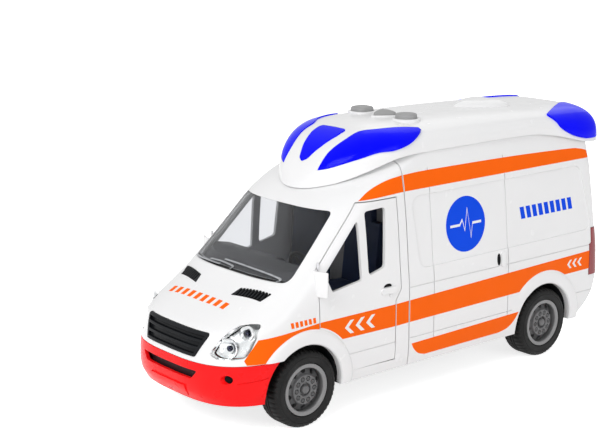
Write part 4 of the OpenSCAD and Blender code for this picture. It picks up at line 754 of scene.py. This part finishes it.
# Each button's place in the row, its name, and its crown as scales and shares of its height
CROWNS = ((1, "left", ((1, 0.5), (0.985, 0.72), (0.9, 0.88), (0.7, 0.96), (0.4, 1.0))),
          (0, "centre", ((1, 0.35), (0.97, 0.5), (0.8, 0.72), (0.45, 0.92), (0.2, 1.0))),
          (-1, "right", ((1, 0.45), (0.98, 0.68), (0.9, 0.85), (0.7, 0.96), (0.4, 1.0))))
for k, name, crown in CROWNS:
    rows = [(1, BUTTON_FOOT_Z - BUTTON_Z), (1, 0)] + [(s, h * BUTTON_H) for s, h in crown]
    head = moved(stack(button_outline(k), rows), BUTTON_X, k * BUTTON_PITCH, BUTTON_Z)
    piece(head, "button_head_" + name, name + "_button", GREY_RUBBER, ["button_" + name],
          sharp=BUTTON_SHARP)

# Front: bumper, grille, lamps and windscreen

FOG_Y, FOG_Z, FOG_R = 36.0, 30.8, 2.2
PAD = soft(strip(-14.6, 18.6, 14.6, 24.6), 1.2)
CREASE = [(123.0, 28.7), (108.6, 29.9), (108.6, 30.4), (123.0, 29.1)]
PAD_OUT, CREASE_IN, LEDGE_IN = 0.9, 0.35, 0.9
# The slot's back plate: the depths between which it lies, and how far it laps the slot
SLOT_BACK_IN, SLOT_BACK_FAR, SLOT_LAP = 3.4, 4.4, 1.0
FOG_CUP_T, FOG_LAP = 1.2, 1.0
# The grille's openings: heights, half width, height of one, depth, and the frame left round them
GRILLE_ZS, GRILLE_HALF, GRILLE_H, GRILLE_IN, GRILLE_FRAME = (40.9, 44.3, 47.7), 23, 2.3, 0.9, 1.5
# The vents' grooves: count, first place, width, pitch and depth
GROOVE_N, GROOVE_Y, GROOVE_W, GROOVE_PITCH, GROOVE_IN = 9, 17.4, 0.9, 1.9, 0.8
fog = from_front(circle(FOG_Y, FOG_Z, FOG_R, 40), NOSE_CUT_X)
bumper = carve(skin(0, WALL), [
    wheel_hole(AXLE_X, ARCH_R + BUMPER_ARCH), from_front(SLOT, NOSE_CUT_X), *both(fog),
    *both(carve(from_left(CREASE), [body_form(CREASE_IN)]))],
    [box((AXLE_X, -FAR, 0), (FAR, FAR, BUMPER_TOP_Z))])
slot_back = carve(body_form(SLOT_BACK_IN), [body_form(SLOT_BACK_FAR)],
                  [from_front(inset(SLOT, -SLOT_LAP), NOSE_CUT_X)])
piece(slot_back, "slot_back", "body", SHADE, ["bumper_mesh"])
pad = carve(body_form(-PAD_OUT), [body_form(ROOT_IN)], [from_front(PAD, NOSE_CUT_X)])
ledge = carve(body_form(LEDGE_IN), [wheel_hole(AXLE_X, ARCH_R + BUMPER_ARCH)],
              [box((AXLE_X, -FAR, BUMPER_TOP_Z - WALL), (FAR, FAR, BUMPER_TOP_Z))])
piece(join(bumper, pad, ledge), "bumper_skin", "body", RED, ["front_bumper"])
# The cups behind the fog lamp holes take the near-black pocket finish: painted shade in the holes
cups = carve(skin(WALL, WALL + FOG_CUP_T), (),
             [from_front(circle(FOG_Y, FOG_Z, FOG_R + FOG_LAP, 40), NOSE_CUT_X)])
piece(join(cups, flipped(cups)), "fog_cups", "body", POCKET_SHADE)

slats = [carve(from_front(strip(-GRILLE_HALF, z, GRILLE_HALF, z + GRILLE_H), NOSE_CUT_X),
               [body_form(GRILLE_IN)], [from_front(inset(GRILLE, GRILLE_FRAME), NOSE_CUT_X)])
         for z in GRILLE_ZS]
grille = carve(body_form(-FIT), [body_form(WALL), *slats], [from_front(inset(GRILLE, SEAM), NOSE_CUT_X)])
piece(grille, "grille_skin", "body", BLACK, ["radiator_grille"])

groove_ys = [GROOVE_Y + GROOVE_PITCH * i for i in range(GROOVE_N)]
ribs = [carve(box((NOSE_CUT_X, y, 0), (FAR, y + GROOVE_W, FAR)), [body_form(GROOVE_IN)]) for y in groove_ys]
louvre = carve(body_form(-SEAM), [body_form(WALL), *ribs], [from_top(inset(VENT, SEAM))])
for side, obj in sides(louvre):
    piece(obj, "vent_skin_" + side, "body", BLACK, ["bonnet_vent_" + side])

LAMP_COVER_T, BOWL_IN, BOWL_FAR = 1.0, 2.4, 7.0
# The headlamp's dishes: place and radius, and the way they face
DISHES = ((123.4, 33.6, 44.9, 4.3), (116.9, 39.0, 52.2, 3.1))
DISH_AIM = Vector((0.9, 0.35, 0.1))
lamp_lens = carve(skin(0, LAMP_COVER_T), (), [from_front(inset(LAMP, SEAM), LAMP_BACK_X)])
bowl = carve(body_form(BOWL_IN), [body_form(BOWL_FAR)], [from_front(inset(LAMP, SEAM), LAMP_BACK_X)])
aim = DISH_AIM.to_track_quat("Z", "Y").to_matrix().to_4x4()
cup_parts, bulbs = [], []
for x, y, z, r in DISHES:
    dish = turned("dish", [(r, 0.6), (r + 0.5, 0.5), (r + 0.5, -1.2), (0.8 * r, -1.6), (0.4 * r, -2.6),
                           (0.3 * r, -2.2), (0.72 * r, -0.8)], 40)
    bulb = turned("bulb", [(0.01, 0.2), (0.2 * r, 0.1), (0.33 * r, -0.6), (0.33 * r, -2.4), (0.01, -2.4)], 24)
    for o, group in ((dish, cup_parts), (bulb, bulbs)):
        o.data.transform(Matrix.Translation(Vector((x, y, z)) * MM) @ aim)
        group.append(o)
lamp_set = {"bowl": (join(bowl, *cup_parts), CHROME, "bright_plating", "headlamp_bowl_"),
            "bulbs": (join(*bulbs), BULB, "black_plastic", None),
            "cover": (lamp_lens, LENS, "clear_plastic", "headlamp_lens_")}
for kind, (obj, mat, slot, node) in lamp_set.items():
    for side, o in sides(obj):
        piece(o, "headlamp_%s_%s" % (kind, side), "body", mat, [node + side] if node else ())

GLASS_FAR = 1.1
glass = carve(skin(SEAM, GLASS_FAR), (), [from_front(inset(SCREEN, SEAM), SCREEN_CUT_X)])


def ribbon(points, w):
    """An even band along a smooth line."""
    p = curve(points, 6)
    d = np.gradient(p, axis=0)
    n = np.c_[-d[:, 1], d[:, 0]] / np.linalg.norm(d, axis=1)[:, None] * w / 2
    return np.concatenate([p + n, (p - n)[::-1]])


WIPERS = ([(-35.0, 71.9), (-22.3, 72.5), (-9.8, 72.7)],
          [(-19.6, 73.4), (-10.4, 73.8), (-1.6, 73.5), (0.2, 72.9), (-0.6, 72.2)],
          [(-9.0, 74.9), (3.8, 74.9), (14.5, 74.7), (24.2, 74.2), (31.6, 73.3), (33.3, 72.4), (32.0, 71.8)])
WIPER_OUT, WIPER_W = 0.3, 0.3
piece(glass, "windscreen_pane", "body", GLASS, ["windscreen"])
# Wipers raised on the pane; their light grey colour is painted highlight
wipers = [carve(body_form(-WIPER_OUT), [body_form(SEAM)], [from_front(ribbon(line, WIPER_W), SCREEN_CUT_X)])
          for line in WIPERS]
piece(join(*wipers), "wipers", "body", WIPER)

DASH = [(96.5, 60.0), (95.0, 71.0), (88.0, 74.2), (77.0, 75.4), (66.5, 73.0), (63.5, 69.5), (64.5, 60.0)]
# Room for the steering wheel on the left, the bulkhead's lining, and the gap from the skin to both
DRIVER_ROOM = ((0, 4, 0), (73, FAR, FAR))
LINING = ((24.0, -FAR, 45), (24.5, FAR, 112))
TRIM_IN = 2.8
dash = carve(prism(DASH, "y", -FAR, FAR), [box(*DRIVER_ROOM)], [body_form(TRIM_IN)])
bulkhead = carve(box(*LINING), (), [body_form(TRIM_IN)])
# The dash and bulkhead lining laid over the dark interior are lightened as painted light
piece(join(dash, bulkhead), "cab_trim", "body", TRIM_PAINTED_LIGHT)

# Side fittings and tail lamps

MIRROR_PLAN = [(79.6, 40.0), (79.5, 45.2), (77.6, 49.8), (76.9, 50.4), (76.2, 50.1), (78.6, 45.0),
               (78.6, 40.0)]
MIRROR_SIDE = soft(strip(75.9, 64.5, 80.0, 77.1), 1.6)
MIRROR_LOW_Z, MIRROR_HIGH_Z, MIRROR_EDGE, MIRROR_EDGE_N = 64.3, 77.3, 0.6, 3
plate = carve(prism(MIRROR_PLAN, "z", MIRROR_LOW_Z, MIRROR_HIGH_Z), [body_form(SIDE_ROOT_IN)],
              [from_left(MIRROR_SIDE)])
edge = plate.modifiers.new("edge", "BEVEL")
edge.width, edge.segments, edge.limit_method = MIRROR_EDGE * MM, MIRROR_EDGE_N, "ANGLE"
apply(plate)
for side, obj in sides(plate):
    piece(obj, "mirror_arm_" + side, "body", WHITE, ["mirror_" + side])

SLIDE_BAR, SLIDE_HOLE = pill(-51.2, 62.0, 3.4, 8.6), circle(-48.2, 62.0, 1.35, 40, 3.3)
SLIDE_BAR_OUT, SLIDE_HOLE_OUT = 1.2, 0.05
slide_bar = carve(body_form(-SLIDE_BAR_OUT), [body_form(SIDE_ROOT_IN)], [from_left(SLIDE_BAR)])
# The slide's hole is a near-black oval standing just over the skin: painted shade of a hole
slide_hole = carve(body_form(-SLIDE_HOLE_OUT), [body_form(SIDE_ROOT_IN)], [from_left(SLIDE_HOLE)])
for side, bar, hole in (("right", flipped(slide_bar), flipped(slide_hole)), ("left", slide_bar, slide_hole)):
    piece(bar, "slide_handle_" + side, "body", WHITE)
    piece(hole, "slide_pocket_" + side, "body", POCKET_SHADE)

TAIL_IN, TAIL_GAP = 0.9, 0.1
tail = carve(body_form(-FIT), [body_form(TAIL_IN)], [
    from_left(inset(TAIL_LAMP, SEAM)), behind(-AXLE_X), box((-FAR, TAIL_Y + TAIL_GAP, 0), (FAR, FAR, FAR))])
for side, obj in sides(tail):
    piece(obj, "tail_lens_" + side, "body", RED_LENS, ["tail_lamp_" + side])

# Wheels

TREAD_N, WHEEL_SEG, NUT_N = 44, 264, 10
# Tread notches: segments wide, depth, least radius, and the heights between which the tread stays whole
NOTCH_SEG, NOTCH_IN, NOTCH_R, NOTCH_HIGH_Z, NOTCH_LOW_Z = 2, 0.45, 18.5, -4.2, -9.8
NUT_RING_R, VENT_RING_R = 5.55, 9.3


def tyre_mesh():
    """A tyre lying with its outer face up at height zero; blocks are cut into both shoulders."""
    profile = [(13.02, -0.9), (13.6, -0.15), (14.6, 0.0), (16.1, -0.02), (16.3, -0.22), (16.7, -0.22),
               (16.9, -0.05), (17.9, -0.35), (18.6, -0.85), (19.05, -1.7), (19.25, -2.6), (19.3, -3.9),
               (19.3, -5.55), (18.75, -5.75), (18.75, -6.35), (19.3, -6.55), (19.3, -7.35), (18.75, -7.55),
               (18.75, -8.15), (19.3, -8.35), (19.3, -10.0), (19.25, -11.3), (19.05, -12.2), (18.6, -13.05),
               (17.9, -13.55), (14.6, -13.9), (13.6, -13.75), (13.02, -13.0)]
    rows = []
    for i in range(WHEEL_SEG):
        a = 2 * math.pi * i / WHEEL_SEG
        notch = (i % (WHEEL_SEG // TREAD_N)) < NOTCH_SEG
        row = []
        for r, h in profile:
            shoulder = notch and r > NOTCH_R and (h > NOTCH_HIGH_Z or h < NOTCH_LOW_Z)
            cut_r = r - NOTCH_IN * shoulder
            row.append((cut_r * math.cos(a), cut_r * math.sin(a), h))
        rows.append(row)
    return loft("tyre", rows, wrap=True)


def rim_mesh():
    """A rim lying with its outer face up: coned web with openings, sunk nuts and hub."""
    web = turned("web", [(10.9, -3.9), (11.57, -5.8), (11.57, -6.9), (4.7, -6.9), (4.7, -10.4), (1.55, -10.4),
                         (1.55, -4.4), (0.01, -4.4), (0.01, -0.25), (1.2, -0.3), (1.9, -0.6), (2.2, -1.3),
                         (2.3, -2.3), (3.0, -2.4), (3.3, -1.2), (3.7, -0.9), (7.0, -0.9), (7.4, -1.15),
                         (7.7, -2.0), (8.1, -2.5), (9.8, -3.3)], 120)
    cuts = []
    for i in range(NUT_N):
        turn = 360 / NUT_N * i
        opening = prism(circle(VENT_RING_R, 0, 1.3, 28, 1.45), "z", -12, 2)
        cuts.append(rotated(opening, turn + 180 / NUT_N, "Z"))
        moat = turned("moat", [(0.75, 0.5), (1.25, 0.5), (1.25, -1.9), (0.75, -1.9)], 24)
        bore = prism(circle(0, 0, 0.32, 16), "z", -1.6, 0.5)
        cuts += [rotated(moved(tool, NUT_RING_R), turn, "Z") for tool in (moat, bore)]
    return carve(web, cuts)


def lip_mesh():
    return turned("lip", [(12.98, -0.25), (12.98, -12.9), (11.6, -12.9), (11.6, -3.4), (11.2, -2.2),
                          (10.9, -0.8), (11.2, -0.3), (11.9, -0.2)], 144)


WHEEL_PARTS = (("tyre", tyre_mesh(), TYRE, "tyre", "tyre_"), ("rim", rim_mesh(), RIM, "rim", "rim_"),
               ("lip", lip_mesh(), RIM_LIP, "rim", None))
for kind, source, mat, slot, node in WHEEL_PARTS:
    for end, x in (("front", AXLE_X), ("rear", -AXLE_X)):
        for side in ("left", "right"):
            obj = rotated(copy(source), -90, "X")
            moved(obj, x, WHEEL_OUT_Y, AXLE_Z)
            if side == "right":
                mirror(obj)
            name = "%s_%s" % (end, side)
            replaced = [node + name] if node else ()
            piece(obj, "wheel_%s_%s" % (kind, name), end + "_wheels", mat, replaced)
    drop(source)

# Prints

# How deep a print reaches into what carries it
PRINT_IN = 0.12


def print_on(outline, depth=0.0, tool=from_left):
    """A thin print over the body, or over a panel that lies depth under it."""
    return carve(body_form(depth - PRINT_T), [body_form(depth + PRINT_IN)], [tool(outline)])


def both_prints(obj, name, body, material):
    for side, o in sides(obj):
        piece(o, "%s_%s" % (name, side), body.replace("SIDE", side), material)


def slanted(x, z, w, h, lean):
    """A leaning bar with its lower front corner at x and z."""
    return [(x, z), (x - w, z), (x - w + lean, z + h), (x + lean, z + h)]


def chevron(x, z, w, h, thick):
    """An arrow head that points forward."""
    back = x - w - thick
    return [(x, z + h / 2), (x - w, z + h), (back, z + h), (x - thick, z + h / 2), (back, z), (x - w, z)]


DOOR_EDGE_X = DOOR_FRONT_X + 0.4
fender_stripe = [(113.0, 49.1), (119.8, 39.8), (118.8, 37.6), *arch_line(AXLE_X, 37.0, 105.0),
                 (DOOR_EDGE_X, 51.5)]
pillar_stripe = [(27.3, 51.5), (27.3, 40.0), (18.8, 40.2), (18.8, 51.7)]
door_stripe = [(DOOR_FRONT_X - SEAM, 51.5), *arch_line(AXLE_X, 105.7, 136.9, FLARE_R + 1.4),
               (DOOR_REAR_X, 40.0), (DOOR_REAR_X, 51.5)]
box_stripe = [(17.8, 51.7), (17.8, 40.2), *arch_line(-AXLE_X, 46.0, 123.5), (-126.4, 44.5), (-126.9, 55.0)]
sill_stripe = np.concatenate([curve([(16.4, 28.4), (14.4, 25.0), (11.2, 22.2), (6.5, 20.6)]),
                              curve([(-50.0, 20.8), (-56.5, 22.2), (-61.4, 25.4), (-65.0, 29.8)])])
tip_line = curve([(47.4, 106.0), (41.0, 109.7), (34.0, 112.4), (27.0, 114.3), (18.8, 115.4)])
roof_tip = np.concatenate([tip_line, [(18.8, 107.2)]])
roof_line = curve([(17.8, 115.4), (0, 115.9), (-60, 115.7), (-108, 114.6), (-118, 113.7), (-124.2, 112.3)])
roof_stripe = np.concatenate([roof_line, [(-125.3, 108.0), (17.8, 107.2)]])
STRIPES = (("fender_stripe", fender_stripe, "body"), ("pillar_stripe", pillar_stripe, "body"),
           ("door_stripe", door_stripe, "SIDE_cab_door"), ("box_stripe", box_stripe, "body"),
           ("sill_stripe", sill_stripe, "body"), ("roof_tip", roof_tip, "body"),
           ("roof_stripe", roof_stripe, "body"))
for name, outline, body in STRIPES:
    both_prints(print_on(outline), name, body, ORANGE)

ROUNDEL, ROUNDEL_R = (-24.5, 84.7), 14.6
PULSE_UP, PULSE_W = 0.6, 1.3
roundel = print_on(circle(*ROUNDEL, ROUNDEL_R), PANEL_IN)
pulse = [(-11.5, 0), (-4.5, 0), (-2.6, 2.6), (-0.9, -3.2), (1.4, 8.2), (3.6, -7.4), (5.0, 0), (11.5, 0)]
top = [(ROUNDEL[0] - x, ROUNDEL[1] + z + PULSE_UP) for x, z in pulse]
pulse_line = top + [(x, z - PULSE_W) for x, z in reversed(top)]
both_prints(roundel, "roundel", "body", BLUE_PRINT)
both_prints(print_on(pulse_line, PANEL_IN - PRINT_T), "pulse_line", "body", WHITE_FLAT)

# Rows of marks: name, body, finish, shape, count, pitch, depth, and the first mark's own measures
MARKS = (
    ("side_dashes", "body", BLUE_PRINT, slanted, 9, 4.9, PANEL_IN, (-67.6, 81.0, 3.3, 6.6, 1.2)),
    ("fender_dashes", "body", ORANGE, slanted, 6, 2.7, 0.0, (95.4, 51.9, 1.7, 2.8, 0.5)),
    ("door_chevrons", "SIDE_cab_door", WHITE_FLAT, chevron, 3, 7.0, -PRINT_T, (62.0, 42.4, 3.6, 6.8, 2.4)),
    ("tail_chevrons", "body", WHITE_FLAT, chevron, 3, 4.4, -PRINT_T, (-104.5, 47.3, 2.2, 4.8, 1.6)))
for name, body, finish, shape, n, pitch, depth, (x, *rest) in MARKS:
    row = [print_on(shape(x - pitch * i, *rest), depth) for i in range(n)]
    both_prints(join(*row), name, body, finish)

# The bonnet's dashes: rear and front edge, how far the front edge bends back, and the dashes' places
BONNET_REAR_X, BONNET_FRONT_X, BONNET_BEND = 112.0, 116.0, 0.6 / 28
BONNET_YS = np.linspace(-25.5, 17.5, 9)


def bonnet_dash(y):
    front_x = BONNET_FRONT_X - BONNET_BEND * abs(y)
    return [(front_x, y - 1.7), (BONNET_REAR_X, y - 1.2), (BONNET_REAR_X, y + 1.7), (front_x, y + 1.2)]


bonnet = [print_on(bonnet_dash(y), 0, from_top) for y in BONNET_YS]
piece(join(*bonnet), "bonnet_dashes", "body", ORANGE)

# Camera, light and floor

EYE = Vector((492.656, 533.097, 249.832)) * MM
BACK = Vector((0.6211, 0.7521, 0.2205))
FOCAL_PX, FRAME_PX, SENSOR = 1389.09, 600, 36.0
CLIP_NEAR, CLIP_FAR = 0.01, 20
# Light of the sky, glow of the floor where it is seen, and half the floor's side
SKY, FLOOR_GLOW, FLOOR_HALF = 0.5, 0.75, 4000
camera = bpy.data.objects.new("camera", bpy.data.cameras.new("camera"))
bpy.context.scene.collection.objects.link(camera)
camera.location = EYE
camera.rotation_mode = "QUATERNION"
camera.rotation_quaternion = (-BACK).to_track_quat("-Z", "Y")
camera.data.sensor_width, camera.data.lens = SENSOR, FOCAL_PX / FRAME_PX * SENSOR
camera.data.clip_start, camera.data.clip_end = CLIP_NEAR, CLIP_FAR
bpy.context.scene.camera = camera


def area_light(name, place, target, size, watts):
    light = bpy.data.lights.new(name, "AREA")
    light.shape, light.size, light.size_y, light.energy = "RECTANGLE", size[0], size[1], watts
    obj = bpy.data.objects.new(name, light)
    bpy.context.scene.collection.objects.link(obj)
    obj.location = place
    obj.rotation_mode = "QUATERNION"
    obj.rotation_quaternion = (Vector(target) - Vector(place)).to_track_quat("-Z", "Y")


# Lights: name, place, target and size in metres, and watts
LIGHTS = (("key", (1.1, 0.25, 0.9), (0, 0, 0.06), (0.9, 0.6), 9.6),
          ("side", (0.1, 1.3, 0.6), (0, 0, 0.06), (1.2, 0.5), 4.2),
          ("back", (-0.9, -0.6, 0.9), (0, 0, 0.08), (0.8, 0.8), 1.5))
for light in LIGHTS:
    area_light(*light)


def seen_rays(tree):
    """One for the rays that show a surface, zero for the light that it sheds on others."""
    path = tree.nodes.new("ShaderNodeLightPath")
    seen = path.outputs["Is Camera Ray"]
    for kind in ("Is Glossy Ray", "Is Transmission Ray"):
        either = tree.nodes.new("ShaderNodeMath")
        either.use_clamp = True
        tree.links.new(seen, either.inputs[0])
        tree.links.new(path.outputs[kind], either.inputs[1])
        seen = either.outputs["Value"]
    return seen


world = bpy.data.worlds.new("studio")
bpy.context.scene.world = world
world.use_nodes = True
tree = world.node_tree
sky = tree.nodes["Background"]
sky.inputs["Color"].default_value = (1, 1, 1, 1)
sky.inputs["Strength"].default_value = SKY
shown = tree.nodes.new("ShaderNodeBackground")
choice = tree.nodes.new("ShaderNodeMixShader")
tree.links.new(seen_rays(tree), choice.inputs["Fac"])
tree.links.new(sky.outputs["Background"], choice.inputs[1])
tree.links.new(shown.outputs["Background"], choice.inputs[2])
tree.links.new(choice.outputs["Shader"], tree.nodes["World Output"].inputs["Surface"])

floor_corners = strip(-FLOOR_HALF, -FLOOR_HALF, FLOOR_HALF, FLOOR_HALF)
floor = new_object("floor", [(x, y, 0) for x, y in floor_corners], [(0, 1, 2, 3)])
paper = surface("floor_paper", (0.93, 0.93, 0.93), 0.7, 0.05, 300, 0.004, Emission_Color=(1, 1, 1, 1))
tree = paper.node_tree
glow = tree.nodes.new("ShaderNodeMath")
glow.operation = "MULTIPLY"
glow.inputs[1].default_value = FLOOR_GLOW
tree.links.new(seen_rays(tree), glow.inputs[0])
tree.links.new(glow.outputs["Value"], tree.nodes["Principled BSDF"].inputs["Emission Strength"])
floor.data.materials.append(paper)
bpy.context.scene.view_settings.view_transform = "Standard"
